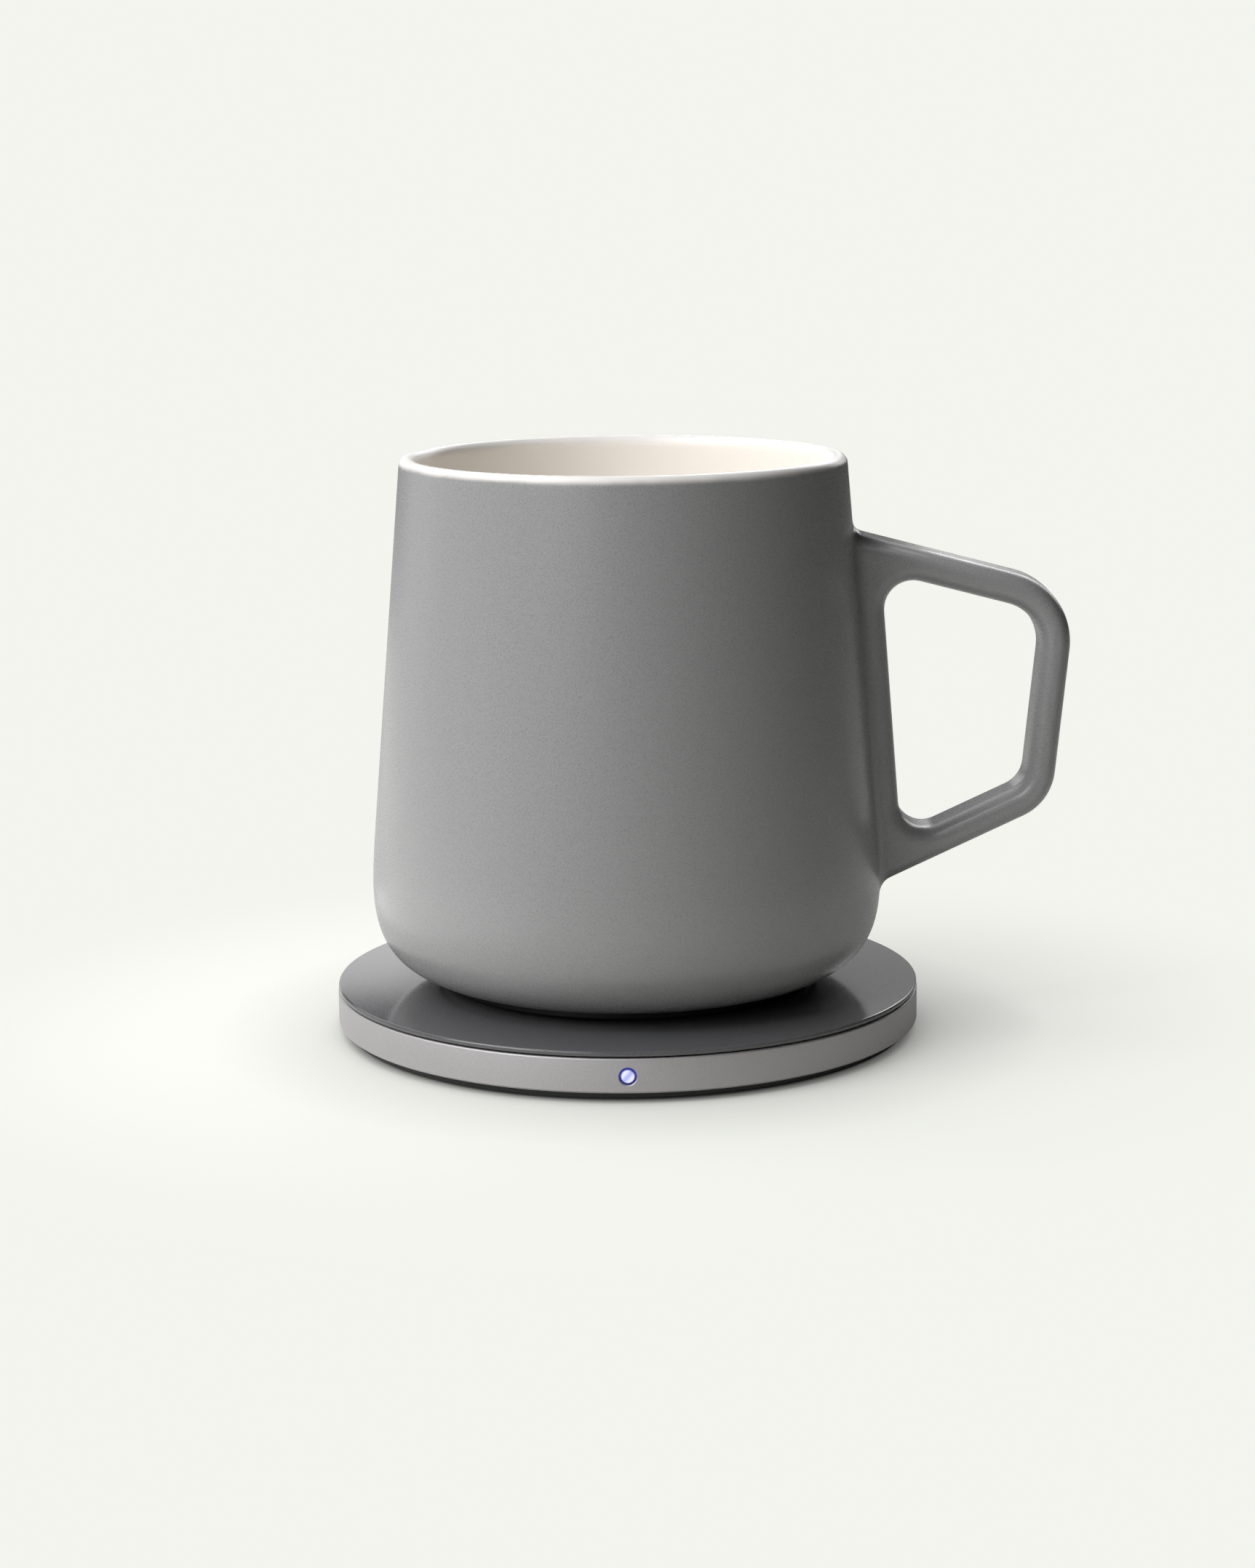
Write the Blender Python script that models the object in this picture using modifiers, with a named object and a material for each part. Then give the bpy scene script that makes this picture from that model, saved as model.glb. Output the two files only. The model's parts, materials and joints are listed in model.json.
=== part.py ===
"""Self heating mug: a porcelain mug with a powered base, standing on its round charging coaster.

All lengths are in metres and angles in radians, +Z is up. The handle points along +X, the indicator
faces -Y and the charging port faces +Y. The origin is the centre of the coaster's foot, on the table.
The mug is modelled from its own underside and hangs from an empty on its axis, at the height at
which it stands on the coaster. Lifting it slides it straight up that axis.
"""

import math

import bmesh
import bpy
import numpy as np
from mathutils import Matrix, Vector

# Fits and tools
CLEARANCE = 0.0003
CUT_OVERRUN = 0.002
WELD_DISTANCE = 0.000001
FILLET_LIMIT_SHARE = 0.45
SHARP_ANGLE = math.radians(32.0)

# Facets
BODY_STEPS = 48
COASTER_STEPS = 48
HIDDEN_STEPS = 32
HOLE_STEPS = 16
ARC_STEPS = 3
WIDE_ARC_STEPS = 6
WALL_CURVE_STEPS = 9
COIL_POINTS = 16
EDGE_SEGMENTS = 1

# Coaster housing
COASTER_RADIUS = 0.0500
COASTER_HEIGHT = 0.0085
RING_STANDOFF = 0.0016
RING_WALL = 0.0013
RING_EDGE = 0.00035
FLANGE_WIDTH = 0.0040
FLANGE_THICKNESS = 0.0006
PLATE_THICKNESS = 0.00075
PLATE_INSET = 0.0001
PLATE_EDGE = 0.0006
ADHESIVE_THICKNESS = 0.0003
ADHESIVE_MARGIN = 0.0003

# Coaster base
FOOT_PAD_MARGIN = 0.0029
FOOT_PAD_THICKNESS = 0.0008
FOOT_PAD_EDGE = 0.0003
BASE_STANDOFF = 0.0004
BASE_FLOOR = 0.0010
BASE_EDGE = 0.0003
STANDOFF_HEIGHT = 0.0003
STANDOFF_WIDTH = 0.0046

# Coaster screws
SCREW_COUNT = 4
SCREW_BOSS_OFFSET = 0.0018
SCREW_SHANK_RADIUS = 0.0008
SCREW_HEAD_RADIUS = 0.0015
SCREW_HEAD_HEIGHT = 0.0005
SCREW_LENGTH = 0.0048
SCREW_SOCKET_RADIUS = 0.0007
SCREW_SOCKET_DEPTH = 0.0003
SCREW_FIRST_ANGLE = math.radians(45.0)

# Coaster electronics
BOARD_MARGIN = 0.0032
BOARD_THICKNESS = 0.0008
BOARD_PARTS_WIDTH = 0.0170
CARRIER_WALL = 0.0012
CARRIER_FLOOR = 0.0007
BOSS_RADIUS = 0.0024
TRANSMITTER_WIRE = 0.0008
TRANSMITTER_TURNS = 8
TRANSMITTER_INNER_SHARE = 0.42
TRANSMITTER_FERRITE_MARGIN = 0.0008
TRANSMITTER_FERRITE_THICKNESS = 0.0006
PLATE_SENSOR_SIZE = (0.0022, 0.0014, 0.0007)

# Flat parts on the coaster's board: angle from +X, distance outside the coil's carrier, and width,
# depth and height
BOARD_PARTS = {
    "charge_controller_chip": (math.radians(205.0), 0.0085, (0.0050, 0.0050, 0.0009)),
    "coil_driver_chip": (math.radians(165.0), 0.0085, (0.0045, 0.0045, 0.0009)),
    "port_controller_chip": (math.radians(112.0), 0.0100, (0.0030, 0.0030, 0.0008)),
    "power_inductor": (math.radians(0.0), 0.0095, (0.0062, 0.0062, 0.0025)),
    "resonance_capacitor_1": (math.radians(20.0), 0.0105, (0.0032, 0.0025, 0.0018)),
    "resonance_capacitor_2": (math.radians(340.0), 0.0105, (0.0032, 0.0025, 0.0018)),
    "input_capacitor": (math.radians(70.0), 0.0110, (0.0032, 0.0025, 0.0018)),
}
PART_EDGE = 0.0002

# Coaster indicator
LENS_RADIUS = 0.00115
LENS_DOME = 0.0002
LENS_FLANGE_RADIUS = 0.0015
LENS_FLANGE_THICKNESS = 0.0006
LENS_LENGTH = 0.0042
INDICATOR_SIZE = (0.0016, 0.0010, 0.0011)

# Coaster charging port
PORT_WIDTH = 0.00894
PORT_HEIGHT = 0.00326
PORT_LENGTH = 0.0073
PORT_SHELL_WALL = 0.0003
PORT_CORNER = 0.0014
PORT_RECESS = 0.0006
TONGUE_WIDTH = 0.0062
TONGUE_THICKNESS = 0.0007
TONGUE_LENGTH = 0.0044
TONGUE_BLOCK_LENGTH = 0.0016
TONGUE_EDGE = 0.0002

# Mug porcelain, with heights above the mug's underside
MUG_HEIGHT = 0.0899
RIM_RADIUS = 0.03774
BELLY_RADIUS = 0.04317
BELLY_HEIGHT = 0.0249
FOOT_RADIUS = 0.0330
FOOT_RISE = 0.00147
FOOT_SLOPE = math.radians(13.7)
WALL_HANDLE_SHARE = 0.495
FOOT_HANDLE_SHARE = 1.14
LIP_THICKNESS = 0.0029
WALL_THICKNESS = 0.0033
BOWL_FILLET = 0.0120
PORCELAIN_FLOOR = 0.0030
FOOT_LAND = 0.0007
RECESS_FILLET = 0.0010

# Mug handle: heights as shares of the mug's height, reaches beyond the straight wall
HANDLE_TOP_ROOT_SHARE = 0.8532
HANDLE_BOTTOM_ROOT_SHARE = 0.1835
HANDLE_TOP_CORNER_SHARE = 0.7442
HANDLE_TOP_CORNER_REACH = 0.0368
HANDLE_BOTTOM_CORNER_SHARE = 0.3348
HANDLE_BOTTOM_CORNER_REACH = 0.0299
HANDLE_TOP_BAR = 0.0053
HANDLE_SIDE_BAR = 0.0050
HANDLE_BOTTOM_BAR = 0.0051
HANDLE_WEB = 0.0040
HANDLE_DEPTH = 0.0120
HANDLE_EDGE = 0.0022
HANDLE_TOP_CORNER_FILLET = 0.0122
HANDLE_BOTTOM_CORNER_FILLET = 0.0093
HANDLE_TOP_ROOT_FILLET = 0.0020
HANDLE_BOTTOM_ROOT_FILLET = 0.0030
WINDOW_INNER_TOP_FILLET = 0.0048
WINDOW_OUTER_TOP_FILLET = 0.0075
WINDOW_OUTER_BOTTOM_FILLET = 0.0050
WINDOW_INNER_BOTTOM_FILLET = 0.0046

# Mug base, with what it holds from the cover's floor upwards
COVER_FLOOR = 0.0012
COVER_RIM_HEIGHT = 0.0037
COVER_RIM_WALL = 0.0012
COVER_EDGE = 0.0005
SEAL_HEIGHT = 0.0010
SEAL_STEP = 0.0028
RECEIVER_WIRE = 0.0006
RECEIVER_TURNS = 9
RECEIVER_INNER_SHARE = 0.40
RECEIVER_MARGIN = 0.0043
RECEIVER_FERRITE_THICKNESS = 0.0006
RECEIVER_BOARD_THICKNESS = 0.0008
STACK_MARGIN = 0.0015
INSULATION_THICKNESS = 0.0011
HEATER_THICKNESS = 0.0004
THERMAL_PAD_THICKNESS = 0.0005
SENSOR_POCKET_RADIUS = 0.0022
FUSE_POCKET_RADIUS = 0.0034
FUSE_DISTANCE = 0.0150
MUG_SENSOR_SIZE = (0.0022, 0.0014, 0.0008)
THERMAL_FUSE_SIZE = (0.0042, 0.0024, 0.0008)

# Flat parts on the mug's board: angle from +X, distance from the axis, and width, depth and height
RECEIVER_PARTS = {
    "receiver_chip": (math.radians(90.0), 0.0120, (0.0040, 0.0040, 0.0008)),
    "rectifier_bridge": (math.radians(270.0), 0.0130, (0.0036, 0.0030, 0.0008)),
    "receiver_capacitor_1": (math.radians(200.0), 0.0160, (0.0020, 0.0012, 0.0008)),
    "receiver_capacitor_2": (math.radians(340.0), 0.0160, (0.0020, 0.0012, 0.0008)),
}

# Heights in the coaster, worked out from the sizes above
PLATE_BOTTOM = COASTER_HEIGHT - PLATE_THICKNESS
RING_TOP = PLATE_BOTTOM - CLEARANCE
FLANGE_TOP = PLATE_BOTTOM - 2.0 * CLEARANCE - ADHESIVE_THICKNESS
FLANGE_BOTTOM = FLANGE_TOP - FLANGE_THICKNESS
RING_INNER_RADIUS = COASTER_RADIUS - RING_WALL
RING_MIDDLE = 0.5 * (RING_STANDOFF + RING_TOP)
BASE_RADIUS = RING_INNER_RADIUS - CLEARANCE
FOOT_PAD_RADIUS = BASE_RADIUS - FOOT_PAD_MARGIN
BOARD_RADIUS = RING_INNER_RADIUS - BOARD_MARGIN
CARRIER_RADIUS = BOARD_RADIUS - BOARD_PARTS_WIDTH
SCREW_CIRCLE = CARRIER_RADIUS + SCREW_BOSS_OFFSET
TRANSMITTER_FERRITE_RADIUS = CARRIER_RADIUS - CARRIER_WALL - TRANSMITTER_FERRITE_MARGIN
TRANSMITTER_INNER_RADIUS = TRANSMITTER_INNER_SHARE * TRANSMITTER_FERRITE_RADIUS
TRANSMITTER_WIDTH = TRANSMITTER_FERRITE_RADIUS - TRANSMITTER_INNER_RADIUS - TRANSMITTER_WIRE
TRANSMITTER_PITCH = TRANSMITTER_WIDTH / TRANSMITTER_TURNS
PAD_POCKET_RADIUS = FOOT_PAD_RADIUS + CLEARANCE
FLOOR_BOTTOM = FOOT_PAD_THICKNESS + CLEARANCE
FLOOR_TOP = FLOOR_BOTTOM + BASE_FLOOR
BOARD_BOTTOM = FLOOR_TOP + STANDOFF_HEIGHT + CLEARANCE
BOARD_TOP = BOARD_BOTTOM + BOARD_THICKNESS
TRANSMITTER_HEIGHT = PLATE_BOTTOM - CLEARANCE - 0.5 * TRANSMITTER_WIRE
FERRITE_TOP = PLATE_BOTTOM - 2.0 * CLEARANCE - TRANSMITTER_WIRE
FERRITE_BOTTOM = FERRITE_TOP - TRANSMITTER_FERRITE_THICKNESS
CARRIER_FLOOR_TOP = FERRITE_BOTTOM - CLEARANCE
CARRIER_FLOOR_BOTTOM = CARRIER_FLOOR_TOP - CARRIER_FLOOR
CARRIER_TOP = PLATE_BOTTOM - CLEARANCE
SCREW_HOLE_RADIUS = SCREW_SHANK_RADIUS + CLEARANCE
SCREW_POCKET_RADIUS = SCREW_HEAD_RADIUS + CLEARANCE

# Heights in the mug, above its underside
MUG_LEVEL = COASTER_HEIGHT + CLEARANCE
RECESS_RADIUS = FOOT_RADIUS - FOOT_LAND
COVER_RADIUS = RECESS_RADIUS - CLEARANCE
SEAL_BOTTOM = COVER_RIM_HEIGHT + CLEARANCE
SEAL_TOP = SEAL_BOTTOM + SEAL_HEIGHT
STEP_HEIGHT = SEAL_TOP + CLEARANCE
STEP_RADIUS = RECESS_RADIUS - SEAL_STEP
STACK_RADIUS = STEP_RADIUS - STACK_MARGIN
RECEIVER_FERRITE_RADIUS = COVER_RADIUS - COVER_RIM_WALL - RECEIVER_MARGIN
RECEIVER_INNER_RADIUS = RECEIVER_INNER_SHARE * RECEIVER_FERRITE_RADIUS
RECEIVER_WIDTH = RECEIVER_FERRITE_RADIUS - RECEIVER_INNER_RADIUS - RECEIVER_WIRE
RECEIVER_PITCH = RECEIVER_WIDTH / RECEIVER_TURNS
HANDLE_TOP_ROOT_HEIGHT = HANDLE_TOP_ROOT_SHARE * MUG_HEIGHT
HANDLE_BOTTOM_ROOT_HEIGHT = HANDLE_BOTTOM_ROOT_SHARE * MUG_HEIGHT
HANDLE_TOP_CORNER_HEIGHT = HANDLE_TOP_CORNER_SHARE * MUG_HEIGHT
HANDLE_BOTTOM_CORNER_HEIGHT = HANDLE_BOTTOM_CORNER_SHARE * MUG_HEIGHT
RECEIVER_HEIGHT = COVER_FLOOR + CLEARANCE + 0.5 * RECEIVER_WIRE
RECEIVER_FERRITE_BOTTOM = COVER_FLOOR + 2.0 * CLEARANCE + RECEIVER_WIRE
RECEIVER_BOARD_BOTTOM = RECEIVER_FERRITE_BOTTOM + RECEIVER_FERRITE_THICKNESS + CLEARANCE
RECEIVER_BOARD_TOP = RECEIVER_BOARD_BOTTOM + RECEIVER_BOARD_THICKNESS
RECEIVER_PARTS_TOP = RECEIVER_BOARD_TOP + CLEARANCE + max(size[2] for _, _, size in RECEIVER_PARTS.values())
INSULATION_BOTTOM = RECEIVER_PARTS_TOP + CLEARANCE
HEATER_BOTTOM = INSULATION_BOTTOM + INSULATION_THICKNESS + CLEARANCE
THERMAL_PAD_BOTTOM = HEATER_BOTTOM + HEATER_THICKNESS + CLEARANCE
RECESS_CEILING = THERMAL_PAD_BOTTOM + THERMAL_PAD_THICKNESS + CLEARANCE
BOWL_FLOOR = RECESS_CEILING + PORCELAIN_FLOOR

# Finishes: sRGB colour, roughness and metallic
DISPLAY_GAMMA = 2.2
COLOURS = {
    "porcelain_grey": ("#8a8a8a", 0.42, 0.0),
    "plate_glass": ("#47474a", 0.22, 0.0),
    "anodised_aluminium": ("#a3a1a3", 0.38, 1.0),
    "black_plastic": ("#1c1c1e", 0.55, 0.0),
    "foot_silicone": ("#2a2a2c", 0.80, 0.0),
    "adhesive": ("#202022", 0.70, 0.0),
    "board_green": ("#1f5136", 0.50, 0.0),
    "ferrite": ("#34302f", 0.65, 0.0),
    "copper": ("#b8683a", 0.35, 1.0),
    "chip_black": ("#17181a", 0.45, 0.0),
    "capacitor_tan": ("#8b7355", 0.50, 0.0),
    "steel": ("#b9babd", 0.30, 1.0),
    "lens_clear": ("#dfe6ff", 0.12, 0.0),
    "carrier_plastic": ("#d9d7d0", 0.55, 0.0),
    "heater_film": ("#b5732c", 0.40, 0.0),
    "thermal_grey": ("#8f9aa3", 0.75, 0.0),
    "insulation_white": ("#e4dfd3", 0.80, 0.0),
    "seal_red": ("#9c3b2e", 0.70, 0.0),
}


def clear_scene():
    """Empties the file, so that only this object is left."""
    for scene_object in list(bpy.data.objects):
        bpy.data.objects.remove(scene_object)
    for material_block in list(bpy.data.materials):
        bpy.data.materials.remove(material_block)


def new_collection(name):
    """Adds a collection to the scene."""
    collection = bpy.data.collections.new(name)
    bpy.context.scene.collection.children.link(collection)
    return collection


def linear_colour(hex_code):
    """Turns an sRGB hex code to the linear colour that a shader takes."""
    channels = [int(hex_code[i:i + 2], 16) / 255.0 for i in (1, 3, 5)]
    return (*(channel ** DISPLAY_GAMMA for channel in channels), 1.0)


def make_material(name, finish):
    """Makes a piece's own material from one of the finishes."""
    hex_code, roughness, metallic = COLOURS[finish]
    material = bpy.data.materials.new(name)
    material.use_nodes = True
    shader = material.node_tree.nodes["Principled BSDF"]
    shader.inputs["Base Color"].default_value = linear_colour(hex_code)
    shader.inputs["Roughness"].default_value = roughness
    shader.inputs["Metallic"].default_value = metallic
    return material


class Model:
    """Holds the collections and the parents that every piece goes to."""

    def __init__(self):
        self.pieces = new_collection("self_heating_mug")
        self.cutters = new_collection("cutters")
        self.coaster = self.add_parent("coaster", 0.0)
        self.mug = self.add_parent("mug", MUG_LEVEL)

    def add_parent(self, name, height):
        """Adds the empty that carries one body, on the axis."""
        empty = bpy.data.objects.new(name, None)
        empty.location = (0.0, 0.0, height)
        self.pieces.objects.link(empty)
        return empty

    def add_piece(self, name, data, parent, finish):
        """Adds a named piece to its parent, in its finish."""
        piece = bpy.data.objects.new(name, data)
        piece.parent = parent
        piece.data.materials.append(make_material(name, finish))
        self.pieces.objects.link(piece)
        return piece

    def add_cutter(self, name, data, parent):
        """Adds a hidden shape that pieces are cut by or joined with."""
        cutter = bpy.data.objects.new(name, data)
        cutter.parent = parent
        cutter.hide_render = True
        cutter.display_type = "WIRE"
        self.cutters.objects.link(cutter)
        return cutter


def combine(piece, tool, operation):
    """Cuts a piece by a tool, or joins the tool to it."""
    modifier = piece.modifiers.new(operation.lower() + "_" + tool.name, "BOOLEAN")
    modifier.operation = operation
    modifier.object = tool
    modifier.solver = "EXACT"


def shade_by_angle(mesh):
    """Shades a mesh smooth, apart from its sharp edges."""
    mesh.shade_smooth()
    mesh.set_sharp_from_angle(angle=SHARP_ANGLE)


def evaluated_mesh(scratch_object):
    """Turns an object with its modifiers, or a curve, to a welded mesh, and removes the object."""
    bpy.context.scene.collection.objects.link(scratch_object)
    graph = bpy.context.evaluated_depsgraph_get()
    mesh = bpy.data.meshes.new_from_object(scratch_object.evaluated_get(graph))
    bpy.data.objects.remove(scratch_object)
    shape = bmesh.new()
    shape.from_mesh(mesh)
    bmesh.ops.remove_doubles(shape, verts=shape.verts, dist=WELD_DISTANCE)
    shape.to_mesh(mesh)
    shape.free()
    shade_by_angle(mesh)
    return mesh


def fillet_points(before, corner, after, radius, steps):
    """Gives the points of the arc that rounds one corner of an outline."""
    to_before = before - corner
    to_after = after - corner
    half_angle = 0.5 * to_before.angle(to_after)
    run = min(radius / math.tan(half_angle), FILLET_LIMIT_SHARE * min(to_before.length, to_after.length))
    start = corner + to_before.normalized() * run
    end = corner + to_after.normalized() * run
    bisector = (to_before.normalized() + to_after.normalized()).normalized()
    centre = corner + bisector * (run / math.cos(half_angle))
    first = start - centre
    last = end - centre
    sweep = math.atan2(first.x * last.y - first.y * last.x, first.dot(last))
    return [centre + Matrix.Rotation(sweep * i / steps, 2) @ first for i in range(steps + 1)]


def rounded_outline(corners, closed, steps=ARC_STEPS):
    """Turns corners of (x, y, fillet radius) to the points of an outline with round corners."""
    points = []
    count = len(corners)
    for index, (x, y, radius) in enumerate(corners):
        corner = Vector((x, y))
        if radius > 0.0:
            before = Vector(corners[index - 1][:2])
            after = Vector(corners[(index + 1) % count][:2])
            points += fillet_points(before, corner, after, radius, steps)
        else:
            points.append(corner)
    if closed and (points[0] - points[-1]).length < WELD_DISTANCE:
        points.pop()
    return points


def turned_mesh(name, points, steps, closed):
    """Turns a profile of (radius, height) points round the Z axis with a Screw modifier."""
    mesh = bpy.data.meshes.new(name)
    edges = [(i, i + 1) for i in range(len(points) - 1)]
    if closed:
        edges.append((len(points) - 1, 0))
    mesh.from_pydata([(point[0], 0.0, point[1]) for point in points], edges, [])
    scratch_object = bpy.data.objects.new(name, mesh)
    screw = scratch_object.modifiers.new("turn", "SCREW")
    screw.steps = steps
    screw.render_steps = steps
    screw.use_merge_vertices = True
    screw.merge_threshold = WELD_DISTANCE
    return evaluated_mesh(scratch_object)


def disc_mesh(name, radius, bottom, top, edge, steps):
    """Makes a flat disc with rounded rims."""
    corners = [(0.0, top, 0.0), (radius, top, edge), (radius, bottom, edge), (0.0, bottom, 0.0)]
    return turned_mesh(name, rounded_outline(corners, closed=False), steps, closed=False)


def band_mesh(name, outer, inner, bottom, top, steps):
    """Makes a flat ring of a rectangular section."""
    points = [(outer, top), (outer, bottom), (inner, bottom), (inner, top)]
    return turned_mesh(name, points, steps, closed=True)


def flat_mesh(name, outlines, half_depth, edge=0.0, edge_resolution=0):
    """Fills closed outlines as one flat piece in the XY plane, with round edges if asked."""
    curve = bpy.data.curves.new(name, "CURVE")
    curve.dimensions = "2D"
    curve.fill_mode = "BOTH"
    curve.extrude = half_depth - edge
    curve.bevel_depth = edge
    curve.bevel_resolution = edge_resolution
    curve.offset = -edge
    for outline in outlines:
        spline = curve.splines.new("POLY")
        spline.points.add(len(outline) - 1)
        for spline_point, point in zip(spline.points, outline):
            spline_point.co = (point[0], point[1], 0.0, 1.0)
        spline.use_cyclic_u = True
    return evaluated_mesh(bpy.data.objects.new(name, curve))


def box_mesh(name, size):
    """Makes a box round the origin."""
    mesh = bpy.data.meshes.new(name)
    shape = bmesh.new()
    bmesh.ops.create_cube(shape, size=1.0, matrix=Matrix.Diagonal((*size, 1.0)))
    shape.to_mesh(mesh)
    shape.free()
    return mesh


def circle_points(radius, steps, centre=(0.0, 0.0)):
    """Gives the points of a circle."""
    angles = [math.tau * i / steps for i in range(steps)]
    return [(centre[0] + radius * math.cos(a), centre[1] + radius * math.sin(a)) for a in angles]


def rectangle_points(width, height, corner):
    """Gives the points of a rectangle with round corners, round the origin."""
    half_width = 0.5 * width
    half_height = 0.5 * height
    corners = [
        (half_width, half_height, corner),
        (-half_width, half_height, corner),
        (-half_width, -half_height, corner),
        (half_width, -half_height, corner),
    ]
    return rounded_outline(corners, closed=True, steps=ARC_STEPS + 1)


def screw_places():
    """Gives the places of the coaster's screws, seen from above."""
    angles = [SCREW_FIRST_ANGLE + math.tau * i / SCREW_COUNT for i in range(SCREW_COUNT)]
    return [(SCREW_CIRCLE * math.cos(a), SCREW_CIRCLE * math.sin(a)) for a in angles]


def add_board_parts(model, table, parent, board_top, inner_radius=0.0):
    """Stands the flat electronic parts of a table on their board, at their distance from a radius."""
    for name, (angle, offset, size) in table.items():
        distance = inner_radius + offset
        finish = "capacitor_tan" if "capacitor" in name else "chip_black"
        part = model.add_piece(name, box_mesh(name, size), parent, finish)
        height = board_top + CLEARANCE + 0.5 * size[2]
        part.location = (distance * math.cos(angle), distance * math.sin(angle), height)
        part.rotation_euler = (0.0, 0.0, angle)
        bevel = part.modifiers.new("edges", "BEVEL")
        bevel.width = PART_EDGE
        bevel.segments = EDGE_SEGMENTS


def spiral_points(inner_radius, pitch, turns, height):
    """Gives the middle line of a flat spiral winding."""
    points = []
    for i in range(turns * COIL_POINTS + 1):
        angle = math.tau * i / COIL_POINTS
        radius = inner_radius + pitch * i / COIL_POINTS
        points.append((radius * math.cos(angle), radius * math.sin(angle), height))
    return points


def least_winding_gap(points, wire_diameter):
    """Measures the smallest space between neighbouring turns of a winding."""
    places = np.array(points)
    least = math.inf
    for i in range(len(places) - COIL_POINTS // 2):
        later = places[i + COIL_POINTS // 2:]
        least = min(least, float(np.linalg.norm(later - places[i], axis=1).min()))
    return least - wire_diameter


def add_coil(model, name, parent, points, wire_diameter):
    """Winds one unbroken wire along the points."""
    curve = bpy.data.curves.new(name, "CURVE")
    curve.dimensions = "3D"
    curve.bevel_depth = 0.5 * wire_diameter
    curve.bevel_resolution = 1
    curve.use_fill_caps = True
    spline = curve.splines.new("POLY")
    spline.points.add(len(points) - 1)
    for spline_point, point in zip(spline.points, points):
        spline_point.co = (*point, 1.0)
    print(name, "least gap between turns in metres:", round(least_winding_gap(points, wire_diameter), 6))
    return model.add_piece(name, curve, parent, "copper")


def add_foot_pad(model):
    """The silicone pad that the coaster stands on."""
    mesh = disc_mesh("foot_pad", FOOT_PAD_RADIUS, 0.0, FOOT_PAD_THICKNESS, FOOT_PAD_EDGE, HIDDEN_STEPS)
    return model.add_piece("foot_pad", mesh, model.coaster, "foot_silicone")


def add_base_cover(model):
    """The black base under the ring, with a pocket for the pad and a raised track for the board."""
    track_inner = SCREW_CIRCLE - 0.5 * STANDOFF_WIDTH
    track_outer = SCREW_CIRCLE + 0.5 * STANDOFF_WIDTH
    track_top = FLOOR_TOP + STANDOFF_HEIGHT
    corners = [
        (0.0, FLOOR_TOP, 0.0),
        (track_inner, FLOOR_TOP, 0.0),
        (track_inner, track_top, 0.0),
        (track_outer, track_top, 0.0),
        (track_outer, FLOOR_TOP, 0.0),
        (BASE_RADIUS, FLOOR_TOP, 0.0),
        (BASE_RADIUS, BASE_STANDOFF, BASE_EDGE),
        (PAD_POCKET_RADIUS, BASE_STANDOFF, 0.0),
        (PAD_POCKET_RADIUS, FLOOR_BOTTOM, 0.0),
        (0.0, FLOOR_BOTTOM, 0.0),
    ]
    mesh = turned_mesh("base_cover", rounded_outline(corners, closed=False), COASTER_STEPS, closed=False)
    cover = model.add_piece("base_cover", mesh, model.coaster, "black_plastic")
    pocket_top = FLOOR_BOTTOM + SCREW_HEAD_HEIGHT + CLEARANCE
    profile = [
        (0.0, track_top + CUT_OVERRUN),
        (SCREW_HOLE_RADIUS, track_top + CUT_OVERRUN),
        (SCREW_HOLE_RADIUS, pocket_top),
        (SCREW_POCKET_RADIUS, pocket_top),
        (SCREW_POCKET_RADIUS, FLOOR_BOTTOM - CUT_OVERRUN),
        (0.0, FLOOR_BOTTOM - CUT_OVERRUN),
    ]
    for number, (x, y) in enumerate(screw_places(), start=1):
        name = f"base_cover_hole_{number}"
        cutter = model.add_cutter(name, turned_mesh(name, profile, HOLE_STEPS, closed=False), model.coaster)
        cutter.location = (x, y, 0.0)
        combine(cover, cutter, "DIFFERENCE")
    return cover


def add_housing_ring(model, port_cutter, lens_cutter):
    """The anodised ring, with the flange that carries the plate, the port's slot and the lens's hole."""
    flange_inner = RING_INNER_RADIUS - FLANGE_WIDTH
    corners = [
        (COASTER_RADIUS, RING_TOP, RING_EDGE),
        (COASTER_RADIUS, RING_STANDOFF, RING_EDGE),
        (RING_INNER_RADIUS, RING_STANDOFF, 0.0),
        (RING_INNER_RADIUS, FLANGE_BOTTOM, 0.0),
        (flange_inner, FLANGE_BOTTOM, 0.0),
        (flange_inner, FLANGE_TOP, 0.0),
        (RING_INNER_RADIUS, FLANGE_TOP, 0.0),
        (RING_INNER_RADIUS, RING_TOP, 0.0),
    ]
    mesh = turned_mesh("housing_ring", rounded_outline(corners, closed=True), COASTER_STEPS, closed=True)
    ring = model.add_piece("housing_ring", mesh, model.coaster, "anodised_aluminium")
    combine(ring, port_cutter, "DIFFERENCE")
    combine(ring, lens_cutter, "DIFFERENCE")
    return ring


def add_top_plate(model):
    """The dark plate that the mug stands on, with its rounded rim, and the adhesive ring under it."""
    radius = COASTER_RADIUS - PLATE_INSET
    corners = [
        (0.0, COASTER_HEIGHT, 0.0),
        (radius, COASTER_HEIGHT, PLATE_EDGE),
        (radius, PLATE_BOTTOM, 0.0),
        (0.0, PLATE_BOTTOM, 0.0),
    ]
    mesh = turned_mesh("top_plate", rounded_outline(corners, closed=False), COASTER_STEPS, closed=False)
    model.add_piece("top_plate", mesh, model.coaster, "plate_glass")
    outer = RING_INNER_RADIUS - ADHESIVE_MARGIN
    inner = RING_INNER_RADIUS - FLANGE_WIDTH + ADHESIVE_MARGIN
    bottom = FLANGE_TOP + CLEARANCE
    mesh = band_mesh("plate_adhesive", outer, inner, bottom, bottom + ADHESIVE_THICKNESS, HIDDEN_STEPS)
    return model.add_piece("plate_adhesive", mesh, model.coaster, "adhesive")


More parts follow.
